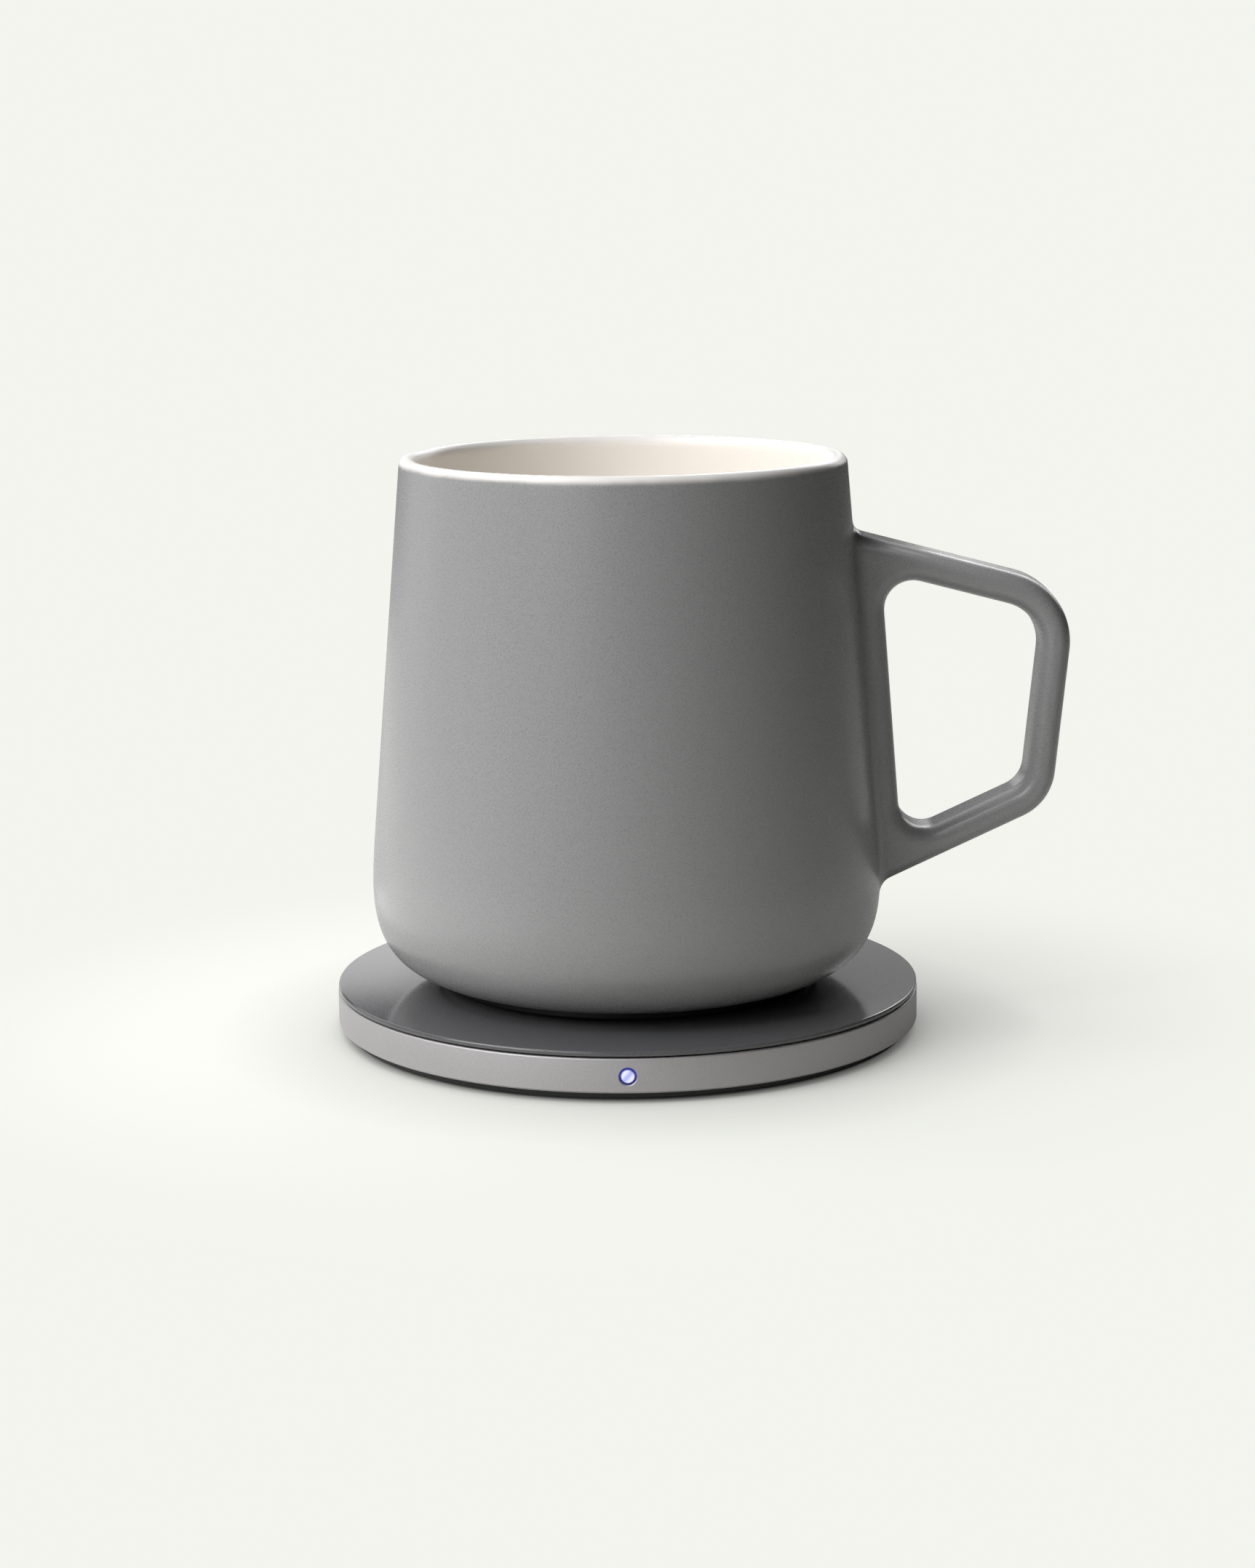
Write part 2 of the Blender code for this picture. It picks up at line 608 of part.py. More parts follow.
def board_outline():
    """The main board's outline: a circle with a notch for the charging port."""
    notch_half = 0.5 * PORT_WIDTH + CLEARANCE
    notch_depth = COASTER_RADIUS - PORT_RECESS - PORT_LENGTH - CLEARANCE
    first_angle = math.acos(notch_half / BOARD_RADIUS)
    sweep = math.tau - (math.pi - 2.0 * first_angle)
    count = HIDDEN_STEPS
    outline = [(notch_half, notch_depth)]
    for i in range(count + 1):
        angle = first_angle - sweep * i / count
        outline.append((BOARD_RADIUS * math.cos(angle), BOARD_RADIUS * math.sin(angle)))
    outline.append((-notch_half, notch_depth))
    return outline


def add_main_board(model):
    """The main circuit board, with its screw holes, and the parts on it."""
    outlines = [board_outline()]
    outlines += [circle_points(SCREW_HOLE_RADIUS, HOLE_STEPS, place) for place in screw_places()]
    mesh = flat_mesh("main_board", outlines, 0.5 * BOARD_THICKNESS)
    board = model.add_piece("main_board", mesh, model.coaster, "board_green")
    board.location = (0.0, 0.0, BOARD_BOTTOM + 0.5 * BOARD_THICKNESS)
    add_board_parts(model, BOARD_PARTS, model.coaster, BOARD_TOP, CARRIER_RADIUS)
    return board


def add_coil_carrier(model):
    """The dish that holds ferrite and coil under the plate, with four screw bosses on its rim."""
    inner = CARRIER_RADIUS - CARRIER_WALL
    points = [
        (0.0, CARRIER_FLOOR_TOP),
        (inner, CARRIER_FLOOR_TOP),
        (inner, CARRIER_TOP),
        (CARRIER_RADIUS, CARRIER_TOP),
        (CARRIER_RADIUS, CARRIER_FLOOR_BOTTOM),
        (0.0, CARRIER_FLOOR_BOTTOM),
    ]
    mesh = turned_mesh("coil_carrier", points, HIDDEN_STEPS, closed=False)
    carrier = model.add_piece("coil_carrier", mesh, model.coaster, "carrier_plastic")
    boss_bottom = BOARD_TOP + CLEARANCE
    boss_top = CARRIER_TOP - CLEARANCE
    hole_top = FLOOR_BOTTOM + SCREW_LENGTH + CLEARANCE
    for number, (x, y) in enumerate(screw_places(), start=1):
        name = f"carrier_boss_{number}"
        mesh = disc_mesh(name, BOSS_RADIUS, boss_bottom, boss_top, 0.0, HOLE_STEPS)
        boss = model.add_cutter(name, mesh, model.coaster)
        boss.location = (x, y, 0.0)
        combine(carrier, boss, "UNION")
        name = f"carrier_hole_{number}"
        mesh = disc_mesh(name, SCREW_HOLE_RADIUS, boss_bottom - CUT_OVERRUN, hole_top, 0.0, HOLE_STEPS)
        hole = model.add_cutter(name, mesh, model.coaster)
        hole.location = (x, y, 0.0)
        combine(carrier, hole, "DIFFERENCE")
    return carrier


def add_transmitter(model):
    """The sending coil on its ferrite, and the sensor that reads the plate's heat."""
    mesh = disc_mesh("transmitter_ferrite", TRANSMITTER_FERRITE_RADIUS, FERRITE_BOTTOM, FERRITE_TOP, 0.0,
                     HIDDEN_STEPS)
    model.add_piece("transmitter_ferrite", mesh, model.coaster, "ferrite")
    points = spiral_points(TRANSMITTER_INNER_RADIUS, TRANSMITTER_PITCH, TRANSMITTER_TURNS, TRANSMITTER_HEIGHT)
    add_coil(model, "transmitter_coil", model.coaster, points, TRANSMITTER_WIRE)
    sensor = model.add_piece("plate_sensor", box_mesh("plate_sensor", PLATE_SENSOR_SIZE), model.coaster,
                             "chip_black")
    sensor.location = (0.0, 0.0, FERRITE_TOP + CLEARANCE + 0.5 * PLATE_SENSOR_SIZE[2])
    return sensor


def add_screws(model):
    """The screws that hold the base cover to the carrier, driven from under the pad."""
    head_top = FLOOR_BOTTOM + SCREW_HEAD_HEIGHT
    points = [
        (0.0, FLOOR_BOTTOM + SCREW_LENGTH),
        (SCREW_SHANK_RADIUS, FLOOR_BOTTOM + SCREW_LENGTH),
        (SCREW_SHANK_RADIUS, head_top),
        (SCREW_HEAD_RADIUS, head_top),
        (SCREW_HEAD_RADIUS, FLOOR_BOTTOM),
        (SCREW_SOCKET_RADIUS, FLOOR_BOTTOM),
        (SCREW_SOCKET_RADIUS, FLOOR_BOTTOM + SCREW_SOCKET_DEPTH),
        (0.0, FLOOR_BOTTOM + SCREW_SOCKET_DEPTH),
    ]
    mesh = turned_mesh("base_screw", points, HOLE_STEPS, closed=False)
    for number, (x, y) in enumerate(screw_places(), start=1):
        screw = model.add_piece(f"base_screw_{number}", mesh.copy(), model.coaster, "steel")
        screw.location = (x, y, 0.0)


def make_port_cutter(model):
    """The slot that the charging port stands in."""
    width = PORT_WIDTH + 2.0 * CLEARANCE
    height = PORT_HEIGHT + 2.0 * CLEARANCE
    outline = rectangle_points(width, height, PORT_CORNER + CLEARANCE)
    length = PORT_LENGTH + CLEARANCE + CUT_OVERRUN
    cutter = model.add_cutter("port_slot", flat_mesh("port_slot", [outline], 0.5 * length), model.coaster)
    front = COASTER_RADIUS - PORT_RECESS - PORT_LENGTH - CLEARANCE
    cutter.location = (0.0, front + 0.5 * length, RING_MIDDLE)
    cutter.rotation_euler = (0.5 * math.pi, 0.0, 0.0)
    return cutter


def add_charging_port(model):
    """The receptacle's steel shell, and the tongue in it."""
    outer = rectangle_points(PORT_WIDTH, PORT_HEIGHT, PORT_CORNER)
    inner_width = PORT_WIDTH - 2.0 * PORT_SHELL_WALL
    inner_height = PORT_HEIGHT - 2.0 * PORT_SHELL_WALL
    inner = rectangle_points(inner_width, inner_height, PORT_CORNER - PORT_SHELL_WALL)
    shell = model.add_piece("port_shell", flat_mesh("port_shell", [outer, inner], 0.5 * PORT_LENGTH),
                            model.coaster, "steel")
    mouth = COASTER_RADIUS - PORT_RECESS
    back = mouth - PORT_LENGTH
    shell.location = (0.0, mouth - 0.5 * PORT_LENGTH, RING_MIDDLE)
    shell.rotation_euler = (0.5 * math.pi, 0.0, 0.0)
    block_size = (inner_width - 2.0 * CLEARANCE, TONGUE_BLOCK_LENGTH, inner_height - 2.0 * CLEARANCE)
    tongue = model.add_piece("port_tongue", box_mesh("port_tongue", block_size), model.coaster,
                             "black_plastic")
    tongue.location = (0.0, back + 0.5 * TONGUE_BLOCK_LENGTH, RING_MIDDLE)
    blade_size = (TONGUE_WIDTH, TONGUE_LENGTH + TONGUE_BLOCK_LENGTH, TONGUE_THICKNESS)
    blade = model.add_cutter("port_blade", box_mesh("port_blade", blade_size), model.coaster)
    blade.location = (0.0, back + TONGUE_BLOCK_LENGTH + 0.5 * TONGUE_LENGTH, RING_MIDDLE)
    rounding = blade.modifiers.new("edges", "BEVEL")
    rounding.width = TONGUE_EDGE
    rounding.segments = EDGE_SEGMENTS
    combine(tongue, blade, "UNION")
    return shell


def make_lens_cutter(model):
    """The round hole that the indicator's lens looks through."""
    length = RING_WALL + 2.0 * CUT_OVERRUN
    mesh = disc_mesh("lens_hole", LENS_RADIUS + CLEARANCE, -0.5 * length, 0.5 * length, 0.0, HOLE_STEPS)
    cutter = model.add_cutter("lens_hole", mesh, model.coaster)
    cutter.location = (0.0, -COASTER_RADIUS + 0.5 * RING_WALL, RING_MIDDLE)
    cutter.rotation_euler = (0.5 * math.pi, 0.0, 0.0)
    return cutter


def add_indicator(model):
    """The light pipe with its domed lens, and the light that shines into it."""
    flange_front = RING_WALL + CLEARANCE
    dome_start = LENS_DOME
    points = [(0.0, 0.0)]
    for i in range(1, ARC_STEPS + 1):
        angle = 0.5 * math.pi * i / ARC_STEPS
        points.append((LENS_RADIUS * math.sin(angle), dome_start * (math.cos(angle) - 1.0)))
    points += [
        (LENS_RADIUS, -flange_front),
        (LENS_FLANGE_RADIUS, -flange_front),
        (LENS_FLANGE_RADIUS, -flange_front - LENS_FLANGE_THICKNESS),
        (LENS_RADIUS, -flange_front - LENS_FLANGE_THICKNESS),
        (LENS_RADIUS, -LENS_LENGTH),
        (0.0, -LENS_LENGTH),
    ]
    lens = model.add_piece("indicator_lens", turned_mesh("indicator_lens", points, HOLE_STEPS, closed=False),
                           model.coaster, "lens_clear")
    lens.location = (0.0, -COASTER_RADIUS, RING_MIDDLE)
    lens.rotation_euler = (0.5 * math.pi, 0.0, 0.0)
    light = model.add_piece("indicator_light", box_mesh("indicator_light", INDICATOR_SIZE), model.coaster,
                            "carrier_plastic")
    back = -COASTER_RADIUS + LENS_LENGTH + CLEARANCE + 0.5 * INDICATOR_SIZE[1]
    light.location = (0.0, back, BOARD_TOP + CLEARANCE + 0.5 * INDICATOR_SIZE[2])
    return light


def wall_radius(height):
    """The outside radius of the mug's straight wall, carried on at any height."""
    slope = (BELLY_RADIUS - RIM_RADIUS) / (MUG_HEIGHT - BELLY_HEIGHT)
    return RIM_RADIUS + slope * (MUG_HEIGHT - height)


def belly_points(growth=0.0):
    """The curve from the end of the straight wall round the belly to the foot."""
    top = Vector((BELLY_RADIUS, BELLY_HEIGHT))
    foot = Vector((FOOT_RADIUS, FOOT_RISE))
    down_wall = (top - Vector((RIM_RADIUS, MUG_HEIGHT))).normalized()
    out_of_foot = Vector((math.cos(FOOT_SLOPE), math.sin(FOOT_SLOPE)))
    wall_handle = top + down_wall * (WALL_HANDLE_SHARE * (BELLY_HEIGHT - FOOT_RISE))
    foot_handle = foot + out_of_foot * (FOOT_HANDLE_SHARE * (BELLY_RADIUS - FOOT_RADIUS))
    points = []
    for i in range(WALL_CURVE_STEPS + 1):
        t = i / WALL_CURVE_STEPS
        s = 1.0 - t
        point = s ** 3 * top + 3 * s * s * t * wall_handle + 3 * s * t * t * foot_handle + t ** 3 * foot
        points.append((point.x + growth, point.y))
    return points


def outside_radius(height):
    """The outside radius of the mug at any height above its foot."""
    if height >= BELLY_HEIGHT:
        return wall_radius(height)
    points = sorted((height, radius) for radius, height in belly_points())
    heights, radii = zip(*points)
    return float(np.interp(height, heights, radii))


def add_porcelain_body(model):
    """The cup: a bowl above, the belly outside, and the recess for the heated base below."""
    lip_radius = 0.5 * LIP_THICKNESS
    inner_rim = RIM_RADIUS - LIP_THICKNESS
    inner_foot = wall_radius(BOWL_FLOOR) - WALL_THICKNESS
    bowl = [
        (0.0, BOWL_FLOOR, 0.0),
        (inner_foot, BOWL_FLOOR, BOWL_FILLET),
        (inner_rim, MUG_HEIGHT, 0.0),
    ]
    points = rounded_outline(bowl, closed=False, steps=WIDE_ARC_STEPS)[:-1]
    lip_height = MUG_HEIGHT - lip_radius
    lip_centre = RIM_RADIUS - lip_radius
    for i in range(2 * ARC_STEPS + 1):
        angle = math.pi * (1.0 - i / (2 * ARC_STEPS))
        points.append((lip_centre + lip_radius * math.cos(angle), lip_height + lip_radius * math.sin(angle)))
    points += belly_points()
    recess = [
        (RECESS_RADIUS, FOOT_RISE, 0.0),
        (RECESS_RADIUS, STEP_HEIGHT, 0.0),
        (STEP_RADIUS, STEP_HEIGHT, 0.0),
        (STEP_RADIUS, RECESS_CEILING, RECESS_FILLET),
        (0.0, RECESS_CEILING, 0.0),
    ]
    points += rounded_outline(recess, closed=False)
    mesh = turned_mesh("porcelain_body", points, BODY_STEPS, closed=False)
    return model.add_piece("porcelain_body", mesh, model.mug, "porcelain_grey")


def shifted_line(start, end, distance):
    """Moves a line to its right by a distance, and gives its two points."""
    direction = (end - start).normalized()
    sideways = Vector((direction.y, -direction.x)) * distance
    return start + sideways, end + sideways


def crossing(first, second):
    """Gives the point where two endless lines cross."""
    start, other = first[0], second[0]
    along = first[1] - first[0]
    across = second[1] - second[0]
    gap = other - start
    turn = along.x * across.y - along.y * across.x
    share = (gap.x * across.y - gap.y * across.x) / turn
    return start + along * share


def handle_outlines():
    """The handle's outer outline, which runs into the mug's wall, and its finger window."""
    top_root = Vector((wall_radius(HANDLE_TOP_ROOT_HEIGHT), HANDLE_TOP_ROOT_HEIGHT))
    bottom_root = Vector((outside_radius(HANDLE_BOTTOM_ROOT_HEIGHT), HANDLE_BOTTOM_ROOT_HEIGHT))
    top_corner = Vector((wall_radius(HANDLE_TOP_CORNER_HEIGHT) + HANDLE_TOP_CORNER_REACH,
                         HANDLE_TOP_CORNER_HEIGHT))
    bottom_corner = Vector((wall_radius(HANDLE_BOTTOM_CORNER_HEIGHT) + HANDLE_BOTTOM_CORNER_REACH,
                            HANDLE_BOTTOM_CORNER_HEIGHT))
    above = HANDLE_TOP_ROOT_HEIGHT + 2.0 * HANDLE_TOP_ROOT_FILLET
    below = HANDLE_BOTTOM_ROOT_HEIGHT - 2.0 * HANDLE_BOTTOM_ROOT_FILLET
    inside = min(RIM_RADIUS, BELLY_RADIUS, outside_radius(below)) - LIP_THICKNESS
    outer = [
        (inside, below, 0.0),
        (outside_radius(below), below, 0.0),
        (*bottom_root, HANDLE_BOTTOM_ROOT_FILLET),
        (*bottom_corner, HANDLE_BOTTOM_CORNER_FILLET),
        (*top_corner, HANDLE_TOP_CORNER_FILLET),
        (*top_root, HANDLE_TOP_ROOT_FILLET),
        (wall_radius(above), above, 0.0),
        (inside, above, 0.0),
    ]
    top_side = shifted_line(top_root, top_corner, HANDLE_TOP_BAR)
    outer_side = shifted_line(top_corner, bottom_corner, HANDLE_SIDE_BAR)
    bottom_side = shifted_line(bottom_corner, bottom_root, HANDLE_BOTTOM_BAR)
    web_side = shifted_line(top_root, bottom_root, -HANDLE_WEB)
    window = [
        (*crossing(top_side, outer_side), WINDOW_OUTER_TOP_FILLET),
        (*crossing(outer_side, bottom_side), WINDOW_OUTER_BOTTOM_FILLET),
        (*crossing(bottom_side, web_side), WINDOW_INNER_BOTTOM_FILLET),
        (*crossing(web_side, top_side), WINDOW_INNER_TOP_FILLET),
    ]
    return [rounded_outline(outline, closed=True, steps=WIDE_ARC_STEPS) for outline in (outer, window)]


def add_porcelain_handle(model):
    """The handle, cast by itself and seated on the mug's wall."""
    mesh = flat_mesh("porcelain_handle", handle_outlines(), 0.5 * HANDLE_DEPTH, HANDLE_EDGE, ARC_STEPS)
    handle = model.add_piece("porcelain_handle", mesh, model.mug, "porcelain_grey")
    handle.rotation_euler = (0.5 * math.pi, 0.0, 0.0)
    seat = [(0.0, MUG_HEIGHT), (RIM_RADIUS + CLEARANCE, MUG_HEIGHT)]
    seat += belly_points(growth=CLEARANCE)
    seat.append((0.0, FOOT_RISE))
    cutter = model.add_cutter("handle_seat", turned_mesh("handle_seat", seat, BODY_STEPS, closed=False),
                              model.mug)
    combine(handle, cutter, "DIFFERENCE")
    return handle


def add_mug_base(model):
    """The black cover that closes the mug's base, and the seal on its rim."""
    inner = COVER_RADIUS - COVER_RIM_WALL
    corners = [
        (0.0, COVER_FLOOR, 0.0),
        (inner, COVER_FLOOR, 0.0),
        (inner, COVER_RIM_HEIGHT, 0.0),
        (COVER_RADIUS, COVER_RIM_HEIGHT, 0.0),
        (COVER_RADIUS, 0.0, COVER_EDGE),
        (0.0, 0.0, 0.0),
    ]
    points = rounded_outline(corners, closed=False)
    mesh = turned_mesh("mug_base_cover", points, BODY_STEPS, closed=False)
    model.add_piece("mug_base_cover", mesh, model.mug, "black_plastic")
    mesh = band_mesh("mug_base_seal", COVER_RADIUS, inner, SEAL_BOTTOM, SEAL_TOP, HIDDEN_STEPS)
    return model.add_piece("mug_base_seal", mesh, model.mug, "seal_red")


def add_receiver(model):
    """The receiving coil, its ferrite and the board that feeds the heater."""
    points = spiral_points(RECEIVER_INNER_RADIUS, RECEIVER_PITCH, RECEIVER_TURNS, RECEIVER_HEIGHT)
    add_coil(model, "receiver_coil", model.mug, points, RECEIVER_WIRE)
    top = RECEIVER_FERRITE_BOTTOM + RECEIVER_FERRITE_THICKNESS
    mesh = disc_mesh("receiver_ferrite", RECEIVER_FERRITE_RADIUS, RECEIVER_FERRITE_BOTTOM, top, 0.0,
                     HIDDEN_STEPS)
    model.add_piece("receiver_ferrite", mesh, model.mug, "ferrite")
    mesh = disc_mesh("receiver_board", STACK_RADIUS, RECEIVER_BOARD_BOTTOM, RECEIVER_BOARD_TOP, 0.0,
                     HIDDEN_STEPS)
    board = model.add_piece("receiver_board", mesh, model.mug, "board_green")
    add_board_parts(model, RECEIVER_PARTS, model.mug, RECEIVER_BOARD_TOP)
    return board


def add_heater(model):
    """The heating film under the bowl, its thermal pad, the insulation and what sits in its pockets."""
    outlines = [
        circle_points(STACK_RADIUS, HIDDEN_STEPS),
        circle_points(SENSOR_POCKET_RADIUS, HOLE_STEPS),
        circle_points(FUSE_POCKET_RADIUS, HOLE_STEPS, (FUSE_DISTANCE, 0.0)),
    ]
    mesh = flat_mesh("insulation_disc", outlines, 0.5 * INSULATION_THICKNESS)
    insulation = model.add_piece("insulation_disc", mesh, model.mug, "insulation_white")
    insulation.location = (0.0, 0.0, INSULATION_BOTTOM + 0.5 * INSULATION_THICKNESS)
    heater_top = HEATER_BOTTOM + HEATER_THICKNESS
    mesh = disc_mesh("heating_element", STACK_RADIUS, HEATER_BOTTOM, heater_top, 0.0, HIDDEN_STEPS)
    model.add_piece("heating_element", mesh, model.mug, "heater_film")
    pad_top = THERMAL_PAD_BOTTOM + THERMAL_PAD_THICKNESS
    mesh = disc_mesh("thermal_pad", STACK_RADIUS, THERMAL_PAD_BOTTOM, pad_top, 0.0, HIDDEN_STEPS)
    model.add_piece("thermal_pad", mesh, model.mug, "thermal_grey")
    for name, size, distance in (
        ("mug_sensor", MUG_SENSOR_SIZE, 0.0),
        ("thermal_fuse", THERMAL_FUSE_SIZE, FUSE_DISTANCE),
    ):
        part = model.add_piece(name, box_mesh(name, size), model.mug, "steel")
        part.location = (distance, 0.0, HEATER_BOTTOM - CLEARANCE - 0.5 * size[2])


def main():
    """Builds the coaster from its foot upwards, and then the mug."""
    clear_scene()
    model = Model()
    add_foot_pad(model)
    add_base_cover(model)
    add_housing_ring(model, make_port_cutter(model), make_lens_cutter(model))
    add_top_plate(model)
    add_main_board(model)
    add_coil_carrier(model)
    add_transmitter(model)
    add_screws(model)
    add_charging_port(model)
    add_indicator(model)
    add_porcelain_body(model)
    add_porcelain_handle(model)
    add_mug_base(model)
    add_receiver(model)
    add_heater(model)


main()
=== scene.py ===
"""Self heating mug on its charging coaster: the fine shapes, finishes, floor, light and camera.

Everything is in metres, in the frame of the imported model: +Z is up, the handle points along +X, the
indicator faces -Y and the charging port faces +Y. The coaster stands on the floor at height zero.
"""

from __future__ import annotations

import json
import logging
import math
from dataclasses import dataclass
from enum import Enum
from typing import ClassVar

import bmesh
import bpy
import numpy as np
from bpy.types import Material, Mesh, Node, NodeSocket, NodeTree, Object
from mathutils import Matrix, Vector

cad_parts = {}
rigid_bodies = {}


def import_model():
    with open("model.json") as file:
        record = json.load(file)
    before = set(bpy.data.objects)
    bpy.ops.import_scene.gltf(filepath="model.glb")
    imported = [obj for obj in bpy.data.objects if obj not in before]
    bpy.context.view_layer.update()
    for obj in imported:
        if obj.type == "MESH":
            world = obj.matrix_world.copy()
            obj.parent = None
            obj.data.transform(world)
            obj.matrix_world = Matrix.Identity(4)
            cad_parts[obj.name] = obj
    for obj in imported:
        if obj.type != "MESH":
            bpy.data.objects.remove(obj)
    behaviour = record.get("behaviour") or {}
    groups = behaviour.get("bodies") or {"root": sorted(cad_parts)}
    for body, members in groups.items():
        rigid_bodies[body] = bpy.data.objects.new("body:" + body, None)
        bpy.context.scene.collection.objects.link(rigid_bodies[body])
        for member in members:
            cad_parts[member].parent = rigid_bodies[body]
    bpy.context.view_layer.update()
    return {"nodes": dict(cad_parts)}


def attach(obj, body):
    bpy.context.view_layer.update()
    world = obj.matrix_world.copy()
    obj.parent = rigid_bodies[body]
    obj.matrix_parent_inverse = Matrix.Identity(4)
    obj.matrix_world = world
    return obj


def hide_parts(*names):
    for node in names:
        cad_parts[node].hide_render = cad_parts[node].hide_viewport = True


LOG = logging.getLogger("self_heating_mug")
WELD = 1e-6  # distance within which points are one
SHARP = math.radians(32.0)  # angle from which an edge is sharp
GAP = 0.0003  # space between neighbours
ROUND_SHARE = 0.48  # largest share of a side that one round corner takes
MUG_LEVEL = 0.0088  # height at which the mug stands on its coaster
NOISE_LOW, NOISE_HIGH = 0.25, 0.75  # values between which nearly all of a noise lies
CHUNK = 8000  # places that are measured at a time, which bounds the memory that it takes

Pair = tuple[float, float]
Triple = tuple[float, float, float]
Outline = list[Pair]


class Body(Enum):
    """The two bodies that pieces ride on."""

    COASTER = "coaster"
    MUG = "mug"


class Combine(Enum):
    """What tools do to a mesh."""

    CUT = "DIFFERENCE"
    JOIN = "UNION"


# Outlines


def arc(centre: Pair, radius: float, first: float, last: float, steps: int) -> Outline:
    """Give the points of an arc.

    Args:
        centre: Middle of the arc in its plane.
        radius: Radius of the arc.
        first: Start angle in radians.
        last: End angle in radians.
        steps: Number of chords.

    Returns:
        The points from first to last.
    """
    angles = [first + (last - first) * i / steps for i in range(steps + 1)]
    return [(centre[0] + radius * math.cos(a), centre[1] + radius * math.sin(a)) for a in angles]


def fillet(before: Vector, corner: Vector, after: Vector, radius: float, steps: int) -> list[Vector]:
    """Round one corner of an outline.

    Args:
        before: The point ahead of the corner.
        corner: The corner.
        after: The point behind the corner.
        radius: Radius of the round.
        steps: Number of chords.

    Returns:
        The points of the round.
    """
    to_before, to_after = before - corner, after - corner
    half = 0.5 * to_before.angle(to_after)
    run = min(radius / math.tan(half), ROUND_SHARE * min(to_before.length, to_after.length))
    start = corner + to_before.normalized() * run
    centre = corner + (to_before.normalized() + to_after.normalized()).normalized() * (run / math.cos(half))
    end = corner + to_after.normalized() * run
    first, last = start - centre, end - centre
    sweep = math.atan2(first.x * last.y - first.y * last.x, first.dot(last))
    return [centre + Matrix.Rotation(sweep * i / steps, 2) @ first for i in range(steps + 1)]


def rounded(corners: list[Triple], closed: bool, steps: int = 6) -> Outline:
    """Turn corners of (x, y, radius) to an outline with round corners.

    Args:
        corners: Corner points with the radius of each.
        closed: Whether the outline closes on itself.
        steps: Chords in each round.

    Returns:
        The outline's points.
    """
    points: Outline = []
    count = len(corners)
    for index, (x, y, radius) in enumerate(corners):
        if radius > 0.0:
            before, after = Vector(corners[index - 1][:2]), Vector(corners[(index + 1) % count][:2])
            points += [tuple(p) for p in fillet(before, Vector((x, y)), after, radius, steps)]
        else:
            points.append((x, y))
    if closed:
        points.append(points[0])
    return points


def rectangle(x: float, z: float, radius: float = 0.0, steps: int = 8) -> Outline:
    """Give a rectangle round the origin, with round corners.

    Args:
        x: Half its width.
        z: Half its height.
        radius: Radius of its corners.
        steps: Chords in each corner.

    Returns:
        The outline's points, without the first again at the end.
    """
    corners = [(x, z, radius), (-x, z, radius), (-x, -z, radius), (x, -z, radius)]
    return rounded(corners, closed=True, steps=steps)[:-1]


def spaced(points: Outline, step: float) -> Outline:
    """Add points to the long chords of an outline, so that none is longer than a step.

    Args:
        points: The outline.
        step: The longest chord that is left.

    Returns:
        The denser outline.
    """
    result = [points[0]]
    for start, end in zip(points, points[1:]):
        parts = max(1, math.ceil(math.dist(start, end) / step))
        origin, run = np.array(start), np.array(end) - np.array(start)
        result += [tuple(origin + run * i / parts) for i in range(1, parts + 1)]
    return result


# Nodes, and the trees that make geometry


def feed(tree: NodeTree, node: Node, links: dict) -> None:
    """Set inputs of a node.

    Args:
        tree: The node tree that it is in.
        node: The node.
        links: Input name or number, with what feeds it: a socket, a node's first output, or a value.
    """
    for key, value in links.items():
        if isinstance(value, Node):
            value = value.outputs[0]
        if isinstance(value, NodeSocket):
            tree.links.new(value, node.inputs[key])
        else:
            node.inputs[key].default_value = value


def add(tree: NodeTree, kind: str, links: dict | None = None, **settings: object) -> Node:
    """Add a node with its settings and its links.

    Args:
        tree: The node tree that it goes to.
        kind: The node's type.
        links: What feeds its inputs, as in feed.
        **settings: Properties of the node.

    Returns:
        The new node.
    """
    node = tree.nodes.new(kind)
    for key, value in settings.items():
        setattr(node, key, value)
    feed(tree, node, links or {})
    return node


def new_tree(name: str, sockets: dict[str, str]) -> tuple[NodeTree, Node]:
    """Start a geometry node tree with named inputs and one geometry output.

    Args:
        name: The tree's name.
        sockets: Name of each input, with the kind of its socket.

    Returns:
        The tree and its group input node.
    """
    tree = bpy.data.node_groups.new(name, "GeometryNodeTree")
    tree.interface.new_socket("Geometry", in_out="INPUT", socket_type="NodeSocketGeometry")
    for label, kind in sockets.items():
        tree.interface.new_socket(label, in_out="INPUT", socket_type="NodeSocket" + kind)
    tree.interface.new_socket("Geometry", in_out="OUTPUT", socket_type="NodeSocketGeometry")
    return tree, tree.nodes.new("NodeGroupInput")


def close_tree(tree: NodeTree, geometry: Node, material: NodeSocket) -> None:
    """End a tree in smooth shading, real geometry and its material.

    Args:
        tree: The geometry node tree.
        geometry: The node that gives its geometry.
        material: The material input.
    """
    smooth = add(tree, "GeometryNodeSetShadeSmooth", {"Geometry": geometry})
    real = add(tree, "GeometryNodeRealizeInstances", {"Geometry": smooth})
    dressed = add(tree, "GeometryNodeSetMaterial", {"Geometry": real, "Material": material})
    add(tree, "NodeGroupOutput", {"Geometry": dressed})


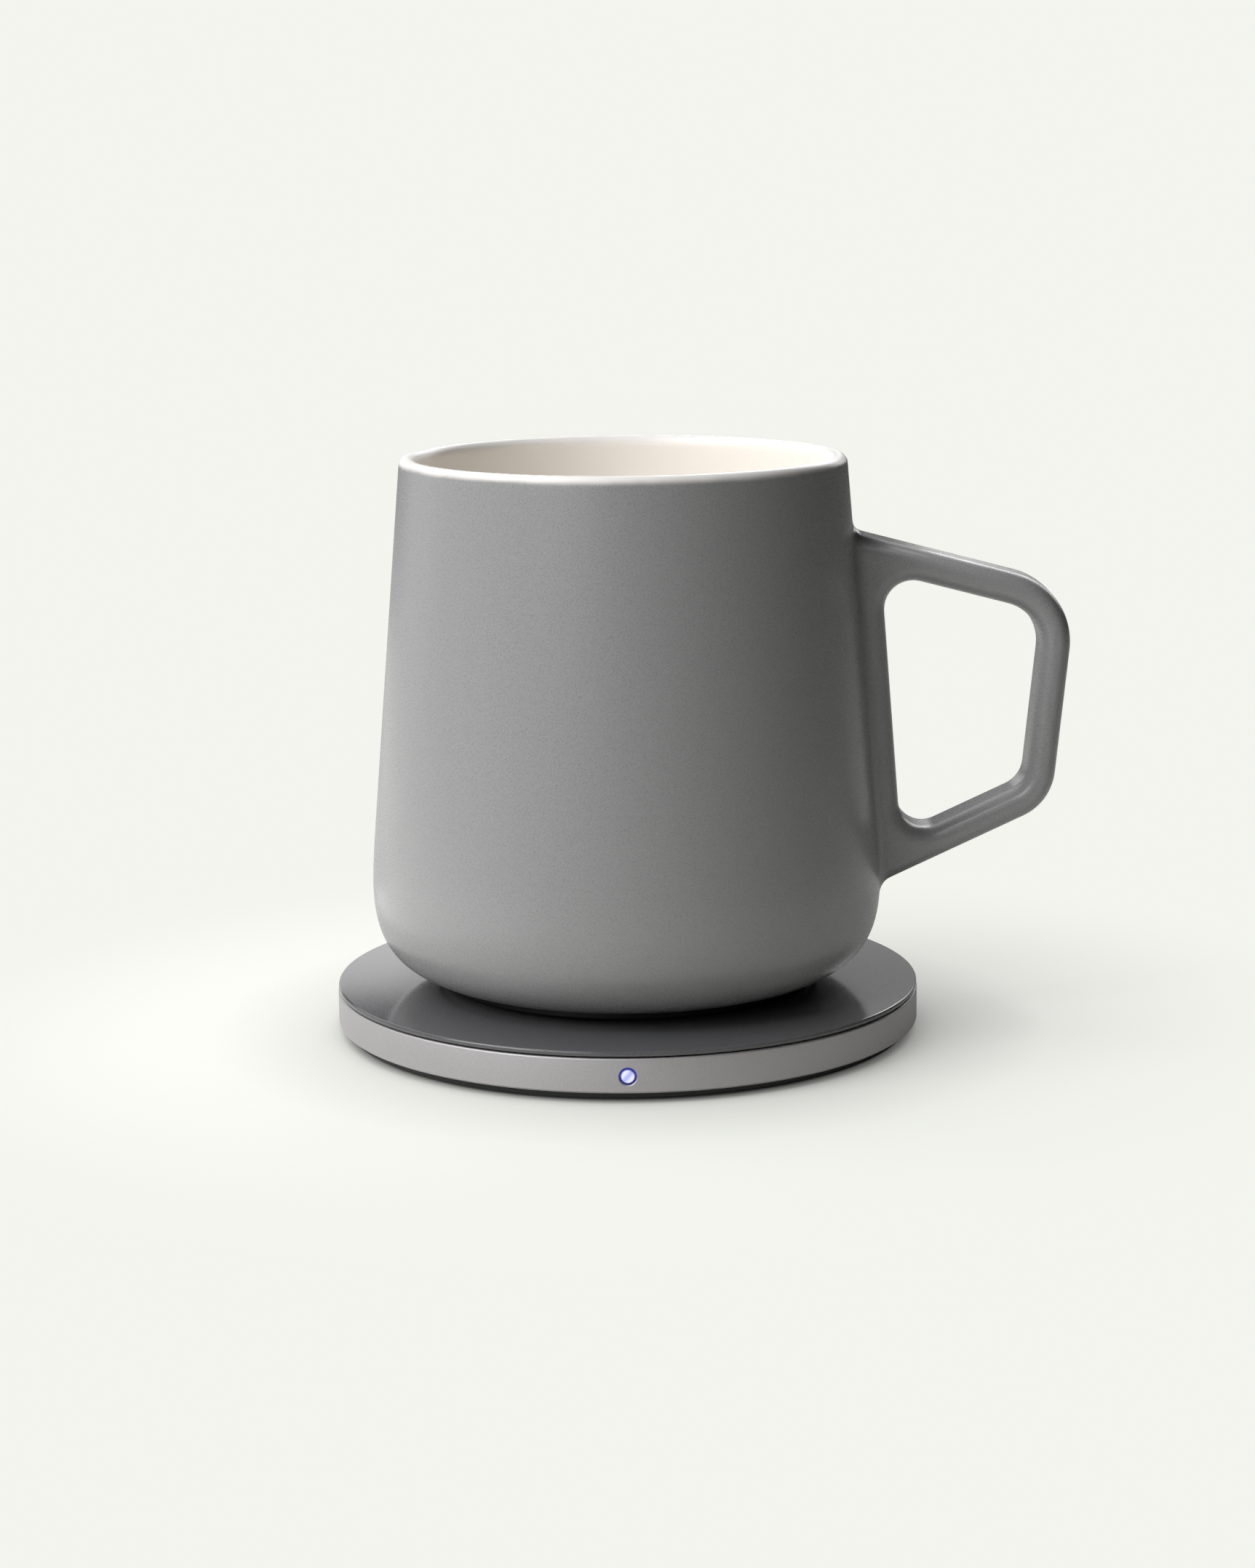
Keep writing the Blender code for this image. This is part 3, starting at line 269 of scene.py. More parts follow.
def lathe_tree() -> NodeTree:
    """Make the tree that turns a profile in the XZ plane round the Z axis.

    Returns:
        The tree, with an input for the number of steps round the axis.
    """
    tree, given = new_tree("lathe", {"Steps": "Int", "Material": "Material"})
    profile = given.outputs["Geometry"]
    size = add(tree, "GeometryNodeAttributeDomainSize", {"Geometry": profile}, component="MESH")
    around = add(tree, "ShaderNodeMath", {0: given.outputs["Steps"], 1: 1.0}, operation="ADD")
    grid = add(tree, "GeometryNodeMeshGrid", {"Vertices X": around, "Vertices Y": size})
    index = add(tree, "GeometryNodeInputIndex")
    row = add(tree, "FunctionNodeIntegerMath", {0: index, 1: size}, operation="MODULO")
    turn = add(tree, "FunctionNodeIntegerMath", {0: index, 1: size}, operation="DIVIDE_FLOOR")
    share = add(tree, "ShaderNodeMath", {0: turn, 1: given.outputs["Steps"]}, operation="DIVIDE")
    angle = add(tree, "ShaderNodeMath", {0: share, 1: math.tau}, operation="MULTIPLY")
    place = add(tree, "GeometryNodeInputPosition")
    point = add(tree, "GeometryNodeSampleIndex", {"Geometry": profile, "Index": row}, data_type="FLOAT_VECTOR",
                domain="POINT")
    tree.links.new(place.outputs[0], next(s for s in point.inputs if s.name == "Value" and s.enabled))
    found = next(s for s in point.outputs if s.enabled)
    turned = add(tree, "ShaderNodeVectorRotate", {"Vector": found, "Axis": (0.0, 0.0, 1.0), "Angle": angle},
                 rotation_type="AXIS_ANGLE")
    moved = add(tree, "GeometryNodeSetPosition", {"Geometry": grid.outputs["Mesh"], "Position": turned})
    closed = add(tree, "GeometryNodeMergeByDistance", {"Geometry": moved, "Distance": WELD})
    close_tree(tree, closed, given.outputs["Material"])
    return tree


def coil_tree() -> NodeTree:
    """Make the tree that winds one wire as a flat spiral.

    Returns:
        The tree, with inputs for the wire's path and its thickness.
    """
    tree, given = new_tree("flat_coil", {"Inner Radius": "Float", "Pitch": "Float", "Turns": "Int", "Height": "Float",
                                         "Wire Radius": "Float", "Turn Points": "Int", "Material": "Material"})
    _, inner, pitch, turns, height, thick, points, material, _ = given.outputs
    total = add(tree, "ShaderNodeMath", {0: turns, 1: points, 2: 1.0}, operation="MULTIPLY_ADD")
    line = add(tree, "GeometryNodeMeshLine", {"Count": total})
    index = add(tree, "GeometryNodeInputIndex")
    turn = add(tree, "ShaderNodeMath", {0: index, 1: points}, operation="DIVIDE")
    radius = add(tree, "ShaderNodeMath", {0: turn, 1: pitch, 2: inner}, operation="MULTIPLY_ADD")
    angle = add(tree, "ShaderNodeMath", {0: turn, 1: math.tau}, operation="MULTIPLY")
    start = add(tree, "ShaderNodeCombineXYZ", {"X": radius, "Z": height})
    place = add(tree, "ShaderNodeVectorRotate", {"Vector": start, "Axis": (0.0, 0.0, 1.0), "Angle": angle},
                rotation_type="AXIS_ANGLE")
    moved = add(tree, "GeometryNodeSetPosition", {"Geometry": line, "Position": place})
    path = add(tree, "GeometryNodeMeshToCurve", {"Mesh": moved})
    section = add(tree, "GeometryNodeCurvePrimitiveCircle", {"Resolution": 10, "Radius": thick})
    wire = add(tree, "GeometryNodeCurveToMesh", {"Curve": path, "Profile Curve": section, "Fill Caps": True})
    close_tree(tree, wire, material)
    return tree


def row_tree() -> NodeTree:
    """Make the tree that sets a row of copies of the given shape along X, and equal rows below it.

    Returns:
        The tree, with inputs for the row, the number of rows and the drop from each to the next.
    """
    tree, given = new_tree("row", {"Count": "Int", "Pitch": "Float", "Start": "Vector", "Rows": "Int",
                                   "Drop": "Float", "Material": "Material"})
    shape, count, pitch, start, rows, drop, material, _ = given.outputs
    across = add(tree, "ShaderNodeCombineXYZ", {"X": pitch})
    line = add(tree, "GeometryNodeMeshLine", {"Count": count, "Start Location": start, "Offset": across})
    upper = add(tree, "GeometryNodeInstanceOnPoints", {"Points": line, "Instance": shape})
    down = add(tree, "ShaderNodeCombineXYZ", {"Z": drop})
    levels = add(tree, "GeometryNodeMeshLine", {"Count": rows, "Offset": down})
    every = add(tree, "GeometryNodeInstanceOnPoints", {"Points": levels, "Instance": upper})
    close_tree(tree, every, material)
    return tree


# Meshes and pieces


class Workshop:
    """Makes plain meshes from the node trees, from modifiers and from outlines."""

    def __init__(self) -> None:
        """Build the trees once."""
        self.lathe = lathe_tree()
        self.coil = coil_tree()
        self.row = row_tree()

    def evaluated(self, scratch: Object) -> Mesh:
        """Turn a scratch object with its modifiers to a plain mesh, and remove the object.

        Args:
            scratch: The object, linked or not.

        Returns:
            The plain mesh.
        """
        if scratch.name not in bpy.context.scene.collection.objects:
            bpy.context.scene.collection.objects.link(scratch)
        graph = bpy.context.evaluated_depsgraph_get()
        mesh = bpy.data.meshes.new_from_object(scratch.evaluated_get(graph))
        bpy.data.objects.remove(scratch)
        return mesh

    def from_tree(self, name: str, tree: NodeTree, values: dict, source: Mesh | None = None) -> Mesh:
        """Run a node tree on a source mesh.

        Args:
            name: Name of the mesh.
            tree: The node tree.
            values: Value of each named input.
            source: Mesh that goes in, if the tree needs one.

        Returns:
            The plain mesh, with its faces outward.
        """
        scratch = bpy.data.objects.new(name, source or bpy.data.meshes.new(name))
        modifier = scratch.modifiers.new(tree.name, "NODES")
        modifier.node_group = tree
        for item in tree.interface.items_tree:
            if item.in_out == "INPUT" and item.name in values:
                modifier[item.identifier] = values[item.name]
        return self.outward(self.evaluated(scratch))

    def outward(self, mesh: Mesh) -> Mesh:
        """Weld a mesh, turn its faces outward and mark its sharp edges.

        Args:
            mesh: The mesh, which is changed in place.

        Returns:
            The same mesh.
        """
        shape = bmesh.new()
        shape.from_mesh(mesh)
        bmesh.ops.remove_doubles(shape, verts=shape.verts, dist=WELD)
        bmesh.ops.recalc_face_normals(shape, faces=shape.faces)
        shape.to_mesh(mesh)
        shape.free()
        mesh.shade_smooth()
        mesh.set_sharp_from_angle(angle=SHARP)
        return mesh

    def turned(self, name: str, points: Outline, steps: int, material: Material) -> Mesh:
        """Turn a profile of (radius, height) points round the Z axis.

        Args:
            name: Name of the mesh.
            points: The profile; a closed one repeats its first point.
            steps: Steps round the axis.
            material: Finish of the mesh.

        Returns:
            The turned mesh.
        """
        source = bpy.data.meshes.new(name + "_profile")
        edges = [(i, i + 1) for i in range(len(points) - 1)]
        source.from_pydata([(r, 0.0, z) for r, z in points], edges, [])
        return self.from_tree(name, self.lathe, {"Steps": steps, "Material": material}, source)

    def slab(self, name: str, outlines: list[Outline], half_depth: float, edge: float = 0.0,
             resolution: int = 0) -> Mesh:
        """Fill closed outlines in the XZ plane as one piece, half_depth to each side in Y.

        Args:
            name: Name of the mesh.
            outlines: The outer outline and those of its holes.
            half_depth: Half the piece's depth.
            edge: Radius of its round edges.
            resolution: Extra chords in each round edge.

        Returns:
            The filled mesh.
        """
        curve = bpy.data.curves.new(name, "CURVE")
        curve.dimensions, curve.fill_mode = "2D", "BOTH"
        curve.extrude, curve.bevel_depth = half_depth - edge, edge
        curve.bevel_resolution, curve.offset = resolution, -edge
        for outline in outlines:
            spline = curve.splines.new("POLY")
            spline.points.add(len(outline) - 1)
            for spline_point, (x, z) in zip(spline.points, outline):
                spline_point.co = (x, z, 0.0, 1.0)
            spline.use_cyclic_u = True
        mesh = self.evaluated(bpy.data.objects.new(name, curve))
        mesh.transform(Matrix.Rotation(math.pi / 2.0, 4, "X"))
        return self.outward(mesh)

    def joined(self, name: str, meshes: list[Mesh]) -> Mesh:
        """Put separate meshes of one material together in one.

        Args:
            name: Name of the result.
            meshes: The meshes, in place.

        Returns:
            The new mesh.
        """
        shape = bmesh.new()
        for mesh in meshes:
            shape.from_mesh(mesh)
        result = bpy.data.meshes.new(name)
        shape.to_mesh(result)
        shape.free()
        result.materials.append(meshes[0].materials[0])
        return self.outward(result)

    def combined(self, name: str, mesh: Mesh, tools: list[Mesh], how: Combine) -> Mesh:
        """Cut a mesh by tools, or join them to it.

        Args:
            name: Name of the result.
            mesh: The mesh that is worked on.
            tools: The meshes that it is cut by or joined with.
            how: What the tools do.

        Returns:
            The new mesh.
        """
        scratch, helpers = bpy.data.objects.new(name, mesh), []
        for tool in tools:
            helper = bpy.data.objects.new(name + "_tool", tool)
            bpy.context.scene.collection.objects.link(helper)
            helpers.append(helper)
            modifier = scratch.modifiers.new("combine", "BOOLEAN")
            modifier.operation, modifier.object, modifier.solver = how.value, helper, "EXACT"
            modifier.material_mode = "TRANSFER" if how is Combine.JOIN else "INDEX"
        result = self.evaluated(scratch)
        for helper in helpers:
            bpy.data.objects.remove(helper)
        return self.outward(result)

    def piece(self, name: str, mesh: Mesh, body: Body, slot: str, replaced: tuple[str, ...] = (),
              material: Material | None = None) -> Object:
        """Put a finished mesh in the scene as a piece.

        Args:
            name: Name of the piece.
            mesh: Its mesh, in place.
            body: The body that it rides on.
            slot: The record's material slot; not used.
            replaced: CAD nodes that it stands for.
            material: Finish that takes the place of those on the mesh.

        Returns:
            The piece.
        """
        if material is not None:
            mesh.materials.clear()
            mesh.materials.append(material)
        obj = bpy.data.objects.new(name, mesh)
        bpy.context.scene.collection.objects.link(obj)
        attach(obj, body.value)
        if replaced:
            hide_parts(*replaced)
        LOG.info("%s: %d faces, rides on %s, stands for %s", name, len(mesh.polygons), body.value,
                 ", ".join(replaced) or "itself")
        return obj


# Finishes


def linear(hex_code: str) -> tuple[float, float, float, float]:
    """Turn an sRGB hex code to the linear colour that a shader takes."""
    values = [int(hex_code[i:i + 2], 16) / 255.0 for i in (1, 3, 5)]
    return (*(v / 12.92 if v <= 0.04045 else ((v + 0.055) / 1.055) ** 2.4 for v in values), 1.0)


@dataclass(frozen=True)
class Finish:
    """A surface with fine grain: the base of every finish here."""

    name: str
    colour: str
    roughness: float = 0.5
    metallic: float = 0.0
    ior: float = 1.5
    grain_size: float = 0.0003
    grain_contrast: float = 0.04
    grain_depth: float = 0.000004
    coat: float = 0.0
    gloss_spread: float = 0.06
    bump_strength: float = 0.6

    def material(self) -> Material:
        """Build the node material.

        Returns:
            The material.
        """
        material = bpy.data.materials.new(self.name)
        material.use_nodes = True
        tree = material.node_tree
        shader = tree.nodes["Principled BSDF"]
        feed(tree, shader, {"Base Color": linear(self.colour), "Roughness": self.roughness, "IOR": self.ior,
                            "Metallic": self.metallic, "Coat Weight": self.coat})
        self.detail(tree, shader)
        return material

    def detail(self, tree: NodeTree, shader: Node) -> None:
        """Add the fine detail: here an even grain in colour, gloss and height.

        Args:
            tree: The material's tree.
            shader: The surface shader.
        """
        place = add(tree, "ShaderNodeTexCoord")
        grain = add(tree, "ShaderNodeTexNoise", {"Vector": place.outputs["Object"], "Scale": 1.0 / self.grain_size,
                                                 "Detail": 2.0, "Roughness": 0.6})
        self.shade(tree, shader, grain.outputs["Fac"])
        self.roughen(tree, shader, grain.outputs["Fac"])
        self.emboss(tree, shader, grain.outputs["Fac"])

    def shade(self, tree: NodeTree, shader: Node, pattern: NodeSocket) -> Node:
        """Let a pattern make the base colour a little lighter and darker.

        Args:
            tree: The material's tree.
            shader: The surface shader.
            pattern: A noise.

        Returns:
            The node that gives the new colour.
        """
        low, high = 1.0 - self.grain_contrast, 1.0 + self.grain_contrast
        strength = add(tree, "ShaderNodeMapRange", {"Value": pattern, "From Min": NOISE_LOW, "From Max": NOISE_HIGH,
                                                    "To Min": low, "To Max": high}, clamp=False)
        mixed = add(tree, "ShaderNodeVectorMath", {0: linear(self.colour)[:3], "Scale": strength}, operation="SCALE")
        feed(tree, shader, {"Base Color": mixed})
        return mixed

    def roughen(self, tree: NodeTree, shader: Node, pattern: NodeSocket) -> Node:
        """Let a pattern change the roughness a little to each side.

        Args:
            tree: The material's tree.
            shader: The surface shader.
            pattern: A noise.

        Returns:
            The node that gives the new roughness.
        """
        low, high = self.roughness - self.gloss_spread, self.roughness + self.gloss_spread
        varied = add(tree, "ShaderNodeMapRange", {"Value": pattern, "From Min": NOISE_LOW, "From Max": NOISE_HIGH,
                                                  "To Min": low, "To Max": high})
        feed(tree, shader, {"Roughness": varied})
        return varied

    def emboss(self, tree: NodeTree, shader: Node, height: NodeSocket | Node) -> None:
        """Raise the surface by a pattern, over the grain's depth in metres.

        Args:
            tree: The material's tree.
            shader: The surface shader.
            height: What gives the pattern.
        """
        bump = add(tree, "ShaderNodeBump", {"Strength": self.bump_strength, "Distance": self.grain_depth,
                                            "Height": height})
        feed(tree, shader, {"Normal": bump.outputs["Normal"]})


@dataclass(frozen=True)
class GlazedPorcelain(Finish):
    """Satin grey glaze outside, with a sanded sparkle, and smooth pale glaze inside that thins over the lip."""

    gloss_spread: float = 0.05
    inside_colour: str = "#fffaf3"
    lip_colour: str = "#f2f0ed"
    inside_roughness: float = 0.30
    lip_line: float = 0.0971
    lip_fade: float = 0.0012
    flow_scale: float = 140.0
    flow_range: Pair = (0.3, 0.7)
    flow_height: float = 0.00012

    def detail(self, tree: NodeTree, shader: Node) -> None:
        """Mix the two glazes by the inside of the bowl and the height of the lip.

        Args:
            tree: The material's tree.
            shader: The surface shader.
        """
        place = add(tree, "ShaderNodeTexCoord")
        grain = add(tree, "ShaderNodeTexNoise", {"Vector": place.outputs["Object"], "Scale": 1.0 / self.grain_size,
                                                 "Detail": 1.0, "Roughness": 0.7})
        flow = add(tree, "ShaderNodeTexNoise", {"Vector": place.outputs["Object"], "Scale": self.flow_scale,
                                                "Detail": 2.0})
        axes = add(tree, "ShaderNodeSeparateXYZ", {0: place.outputs["Object"]})
        wave = add(tree, "ShaderNodeMapRange", {"Value": flow.outputs["Fac"], "From Min": self.flow_range[0],
                                                "From Max": self.flow_range[1], "To Min": -self.flow_height,
                                                "To Max": self.flow_height})
        line = add(tree, "ShaderNodeMath", {0: wave, 1: self.lip_line}, operation="ADD")
        above = add(tree, "ShaderNodeMath", {0: axes.outputs["Z"], 1: line}, operation="SUBTRACT")
        lip = add(tree, "ShaderNodeMapRange", {"Value": above, "From Min": 0.0, "From Max": self.lip_fade},
                  interpolation_type="SMOOTHSTEP")
        bowl = add(tree, "ShaderNodeAttribute", attribute_name="inside")
        pale_share = add(tree, "ShaderNodeMath", {0: lip, 1: bowl.outputs["Fac"]}, operation="MAXIMUM")
        speckled = self.shade(tree, shader, grain.outputs["Fac"])
        pale = add(tree, "ShaderNodeMix", {0: lip, 6: linear(self.inside_colour), 7: linear(self.lip_colour)},
                   data_type="RGBA")
        colour = add(tree, "ShaderNodeMix", {0: pale_share, 6: speckled, 7: pale.outputs[2]}, data_type="RGBA")
        feed(tree, shader, {"Base Color": colour.outputs[2]})
        gloss = self.roughen(tree, shader, grain.outputs["Fac"])
        rough = add(tree, "ShaderNodeMix", {0: pale_share, 2: gloss, 3: self.inside_roughness})
        feed(tree, shader, {"Roughness": rough})
        grey_share = add(tree, "ShaderNodeMath", {0: 1.0, 1: pale_share}, operation="SUBTRACT")
        height = add(tree, "ShaderNodeMath", {0: grain.outputs["Fac"], 1: grey_share}, operation="MULTIPLY")
        self.emboss(tree, shader, height)


@dataclass(frozen=True)
class LitLens(Finish):
    """Milky light pipe, lit from behind: a white middle in a blue edge, round the lens's own centre."""

    bright: str = "#f1f3ff"
    band: str = "#b4bcff"
    edge: str = "#2f3590"
    strength: float = 0.9
    radius: float = 0.00115
    centre: Triple = (0.0, -0.05, 0.004525)
    band_direction: Triple = (0.75, 0.0, -0.66)
    band_share: float = 0.6
    edge_shares: Pair = (0.80, 1.02)

    def detail(self, tree: NodeTree, shader: Node) -> None:
        """Let a blue band cross the white glow, and the glow fall off in a thin blue edge.

        Args:
            tree: The material's tree.
            shader: The surface shader.
        """
        place = add(tree, "ShaderNodeTexCoord")
        offset = add(tree, "ShaderNodeVectorMath", {0: place.outputs["Object"], 1: self.centre}, operation="SUBTRACT")
        away = add(tree, "ShaderNodeVectorMath", {0: offset}, operation="LENGTH")
        across = add(tree, "ShaderNodeVectorMath", {0: offset, 1: self.band_direction}, operation="DOT_PRODUCT")
        size = add(tree, "ShaderNodeMath", {0: across.outputs["Value"]}, operation="ABSOLUTE")
        lobe = add(tree, "ShaderNodeMapRange", {"Value": size, "From Min": 0.0,
                                                "From Max": self.band_share * self.radius},
                   interpolation_type="SMOOTHSTEP")
        inner = add(tree, "ShaderNodeMix", {0: lobe, 6: linear(self.band), 7: linear(self.bright)}, data_type="RGBA")
        first, last = (share * self.radius for share in self.edge_shares)
        rim = add(tree, "ShaderNodeMapRange", {"Value": away.outputs["Value"], "From Min": first, "From Max": last},
                  interpolation_type="SMOOTHSTEP")
        glow = add(tree, "ShaderNodeMix", {0: rim, 6: inner.outputs[2], 7: linear(self.edge)}, data_type="RGBA")
        feed(tree, shader, {"Emission Color": glow.outputs[2], "Emission Strength": self.strength})


@dataclass(frozen=True)
class SolderMask(Finish):
    """Green lacquer over copper fields, which show through as a lighter pattern."""

    cell: float = 0.0022
    lift: float = 1.35
    gap: Pair = (0.04, 0.08)

    def detail(self, tree: NodeTree, shader: Node) -> None:
        """Lighten the cells of the copper pattern, with narrow darker gaps between them.

        Args:
            tree: The material's tree.
            shader: The surface shader.
        """
        place = add(tree, "ShaderNodeTexCoord")
        cells = add(tree, "ShaderNodeTexVoronoi", {"Vector": place.outputs["Object"], "Scale": 1.0 / self.cell},
                    distance="CHEBYCHEV", feature="DISTANCE_TO_EDGE")
        field = add(tree, "ShaderNodeMapRange", {"Value": cells.outputs["Distance"], "From Min": self.gap[0],
                                                 "From Max": self.gap[1], "To Min": 1.0, "To Max": self.lift})
        mixed = add(tree, "ShaderNodeVectorMath", {0: linear(self.colour)[:3], "Scale": field}, operation="SCALE")
        feed(tree, shader, {"Base Color": mixed})


@dataclass(frozen=True)
class HeaterFilm(Finish):
    """Amber film with the etched track of the heater, rings of one pitch."""

    pitch: float = 0.0024
    track: str = "#6b4a2c"
    track_edge: Pair = (0.42, 0.50)

    def detail(self, tree: NodeTree, shader: Node) -> None:
        """Draw the darker track as rings of one pitch, and give the film a slightly uneven gloss.

        Args:
            tree: The material's tree.
            shader: The surface shader.
        """
        place = add(tree, "ShaderNodeTexCoord")
        flat = add(tree, "ShaderNodeVectorMath", {0: place.outputs["Object"], 1: (1.0, 1.0, 0.0)}, operation="MULTIPLY")
        radius = add(tree, "ShaderNodeVectorMath", {0: flat}, operation="LENGTH")
        turns = add(tree, "ShaderNodeMath", {0: radius.outputs["Value"], 1: 1.0 / self.pitch}, operation="MULTIPLY")
        saw = add(tree, "ShaderNodeMath", {0: turns, 1: 1.0}, operation="PINGPONG")
        line = add(tree, "ShaderNodeMapRange", {"Value": saw, "From Min": self.track_edge[0],
                                                "From Max": self.track_edge[1]})
        colour = add(tree, "ShaderNodeMix", {0: line, 6: linear(self.colour), 7: linear(self.track)}, data_type="RGBA")
        feed(tree, shader, {"Base Color": colour.outputs[2]})
        grain = add(tree, "ShaderNodeTexNoise", {"Vector": place.outputs["Object"], "Scale": 1.0 / self.grain_size})
        self.roughen(tree, shader, grain.outputs["Fac"])


class Palette:
    """Every finish of the object, built once."""

    def __init__(self) -> None:
        """Build the materials."""
        finishes = (
            # Satin grey glaze: broad soft highlights and a fine sanded sparkle. The glaze crystals are finer
            # than a pixel, so the grain is drawn coarser. Inside, smooth warm white that throws light back, and
            # over the lip a thinner, slightly greyer white
            GlazedPorcelain("glazed_porcelain", "#949495", 0.29, grain_size=0.00022, grain_contrast=0.10,
                            grain_depth=0.000010),
            # Coated plate: dark grey and glossy, so that it mirrors the mug and the surround at a low angle, under
            # an even fine grain that greys it a little
            Finish("coated_plate", "#5c5c5e", 0.10, grain_size=0.00025, grain_contrast=0.20,
                   grain_depth=0.000009),
            # Blasted and anodised aluminium: cool silver grey with a fine matte sparkle; drawn coarser than real
            Finish("anodised_aluminium", "#bebcbe", 0.58, 0.75, grain_size=0.00020, grain_contrast=0.12,
                   grain_depth=0.000008),
            # Moulded black plastic: a fine eroded texture breaks the highlight into a dull sheen
            Finish("moulded_black_plastic", "#1b1b1d", 0.5, grain_size=0.00018, grain_depth=0.000012),
            # Silicone pad: soft and dull, a little greyer where it faces the light
            Finish("black_silicone", "#232325", 0.75, grain_size=0.00035, grain_depth=0.000010),
            # Adhesive tape: flat dark foam without a highlight
            Finish("plate_adhesive_tape", "#202022", 0.7, grain_size=0.0004),
            # Solder mask: deep green lacquer over the copper pattern, with a clear gloss
            SolderMask("solder_masked_board", "#1f5136", 0.4, grain_size=0.0008, coat=0.3),
            # Moulded epoxy of chips and chokes: matt charcoal with a fine grain
            Finish("epoxy_chip", "#17181a", 0.5, grain_size=0.00012, grain_depth=0.000008),
            # Fired ceramic of the capacitors: light brown with a waxy sheen
            Finish("ceramic_capacitor", "#8b7355", 0.45, grain_size=0.0002),
            # Sintered ferrite: brownish black, dull and cloudy
            Finish("sintered_ferrite", "#34302f", 0.65, grain_size=0.00025, grain_contrast=0.12),
            # Enamelled copper wire: warm metal under a glossy clear varnish
            Finish("enamelled_copper", "#b8683a", 0.3, 1.0, grain_size=0.0006, coat=0.5),
            # Plated stamped steel: bright, with slightly uneven gloss from the rolling
            Finish("stamped_steel", "#b9babd", 0.28, 1.0, grain_size=0.0003),
            # Tinned leads of the chips: soft bright solder
            Finish("tinned_lead", "#c3c5c6", 0.32, 1.0, grain_size=0.0002),
            # Gold plating of the contacts: small warm glints
            Finish("gold_contact", "#c9a552", 0.25, 1.0, grain_size=0.0002),
            # Lit light pipe: white glow crossed by a blue band, in a thin blue edge
            LitLens("lit_lens", "#30344a", 0.12),
            # Cast package of the light: milky and even
            Finish("light_package", "#e6e4d8", 0.4, grain_size=0.0002),
            # Carrier of the sending coil: plain off-white moulding with a satin skin
            Finish("white_carrier_plastic", "#d9d7d0", 0.55, grain_size=0.0003),
            # Polyimide heater film: amber, with the darker track of the heater under it
            HeaterFilm("heater_film_polyimide", "#b5732c", 0.35, grain_size=0.0012, grain_contrast=0.10),
            # Thermal pad: soft blue grey, flat and faintly speckled by its filler
            Finish("soft_thermal_pad", "#8f9aa3", 0.75, grain_size=0.0004, grain_contrast=0.08),
            # Felt insulation: off-white and fibrous, with no highlight at all
            Finish("felt_insulation", "#e4dfd3", 0.9, grain_size=0.0005, grain_depth=0.000040),
            # Silicone seal: brick red rubber with a soft sheen
            Finish("silicone_seal", "#9c3b2e", 0.6, grain_size=0.0004),
        )
        self.materials = {finish.name: finish.material() for finish in finishes}

    def __getitem__(self, name: str) -> Material:
        """Give a finish's material by its name."""
        return self.materials[name]


# Shape of the porcelain as a distance field


class FlatField:
    """Signed distance in a plane to outlines, with the direction away from them."""

    def __init__(self, outlines: list[Outline], open_ends: bool) -> None:
        """Keep the chords of the outlines and the smooth normals at their ends.

        Args:
            outlines: Point lists; the solid is inside the first and outside the others.
            open_ends: Whether the first outline starts and ends on the axis, so that its last chord is no wall.
        """
        starts, ends, first, last, self.rings = [], [], [], [], []
        for number, outline in enumerate(outlines):
            ring = np.array(outline if open_ends else outline[:-1], float)
            area = 0.5 * float(np.sum(ring[:, 0] * np.roll(ring[:, 1], -1) - np.roll(ring[:, 0], -1) * ring[:, 1]))
            side = math.copysign(1.0, area) * (1.0 if number == 0 else -1.0)
            chords = np.roll(ring, -1, 0) - ring
            normals = np.stack([chords[:, 1], -chords[:, 0]], 1) * side
            normals /= np.linalg.norm(normals, axis=1)[:, None]
            joined = normals + np.roll(normals, 1, 0)
            if open_ends:
                joined[0], joined[-1] = normals[0], normals[-2]
            joined /= np.linalg.norm(joined, axis=1)[:, None]
            count = len(ring) - 1 if open_ends else len(ring)
            starts.append(ring[:count])
            ends.append(np.roll(ring, -1, 0)[:count])
            first.append(joined[:count])
            last.append(np.roll(joined, -1, 0)[:count])
            self.rings.append(ring)
        self.starts, self.ends = np.concatenate(starts), np.concatenate(ends)
        self.first, self.last = np.concatenate(first), np.concatenate(last)

    def inside(self, points: np.ndarray) -> np.ndarray:
        """Tell which points lie in the solid.

        Args:
            points: Places in the plane.

        Returns:
            One truth value for each place.
        """
        state = np.zeros(len(points), bool)
        for ring in self.rings:
            a, b = ring, np.roll(ring, -1, 0)
            for (ax, ay), (bx, by) in zip(a, b):
                crosses = (ay > points[:, 1]) != (by > points[:, 1])
                if crosses.any():
                    x = ax + (points[:, 1] - ay) * (bx - ax) / (by - ay if by != ay else 1.0)
                    state ^= crosses & (points[:, 0] < x)
        return state

    def sample(self, points: np.ndarray) -> tuple[np.ndarray, np.ndarray, np.ndarray]:
        """Measure points against the outlines.

        Args:
            points: Places in the plane.

        Returns:
            Signed distance, negative inside; the unit direction outward; the number of the nearest chord.
        """
        chord = self.ends - self.starts
        length = np.maximum(np.einsum("ij,ij->i", chord, chord), 1e-18)
        distance, normal = np.empty(len(points)), np.empty((len(points), 2))
        nearest = np.empty(len(points), int)
        for low in range(0, len(points), CHUNK):
            span = slice(low, low + CHUNK)
            part = points[span]
            offset = part[:, None, :] - self.starts[None]
            t = np.clip(np.einsum("nsk,sk->ns", offset, chord) / length, 0.0, 1.0)
            gap = offset - t[..., None] * chord
            squared = np.einsum("nsk,nsk->ns", gap, gap)
            best = squared.argmin(1)
            rows = np.arange(len(part))
            share = t[rows, best][:, None]
            direction = self.first[best] * (1.0 - share) + self.last[best] * share
            normal[span] = direction / np.linalg.norm(direction, axis=1)[:, None]
            distance[span] = np.sqrt(squared[rows, best])
            nearest[span] = best
        return np.where(self.inside(points), -distance, distance), normal, nearest


# Sub-assemblies


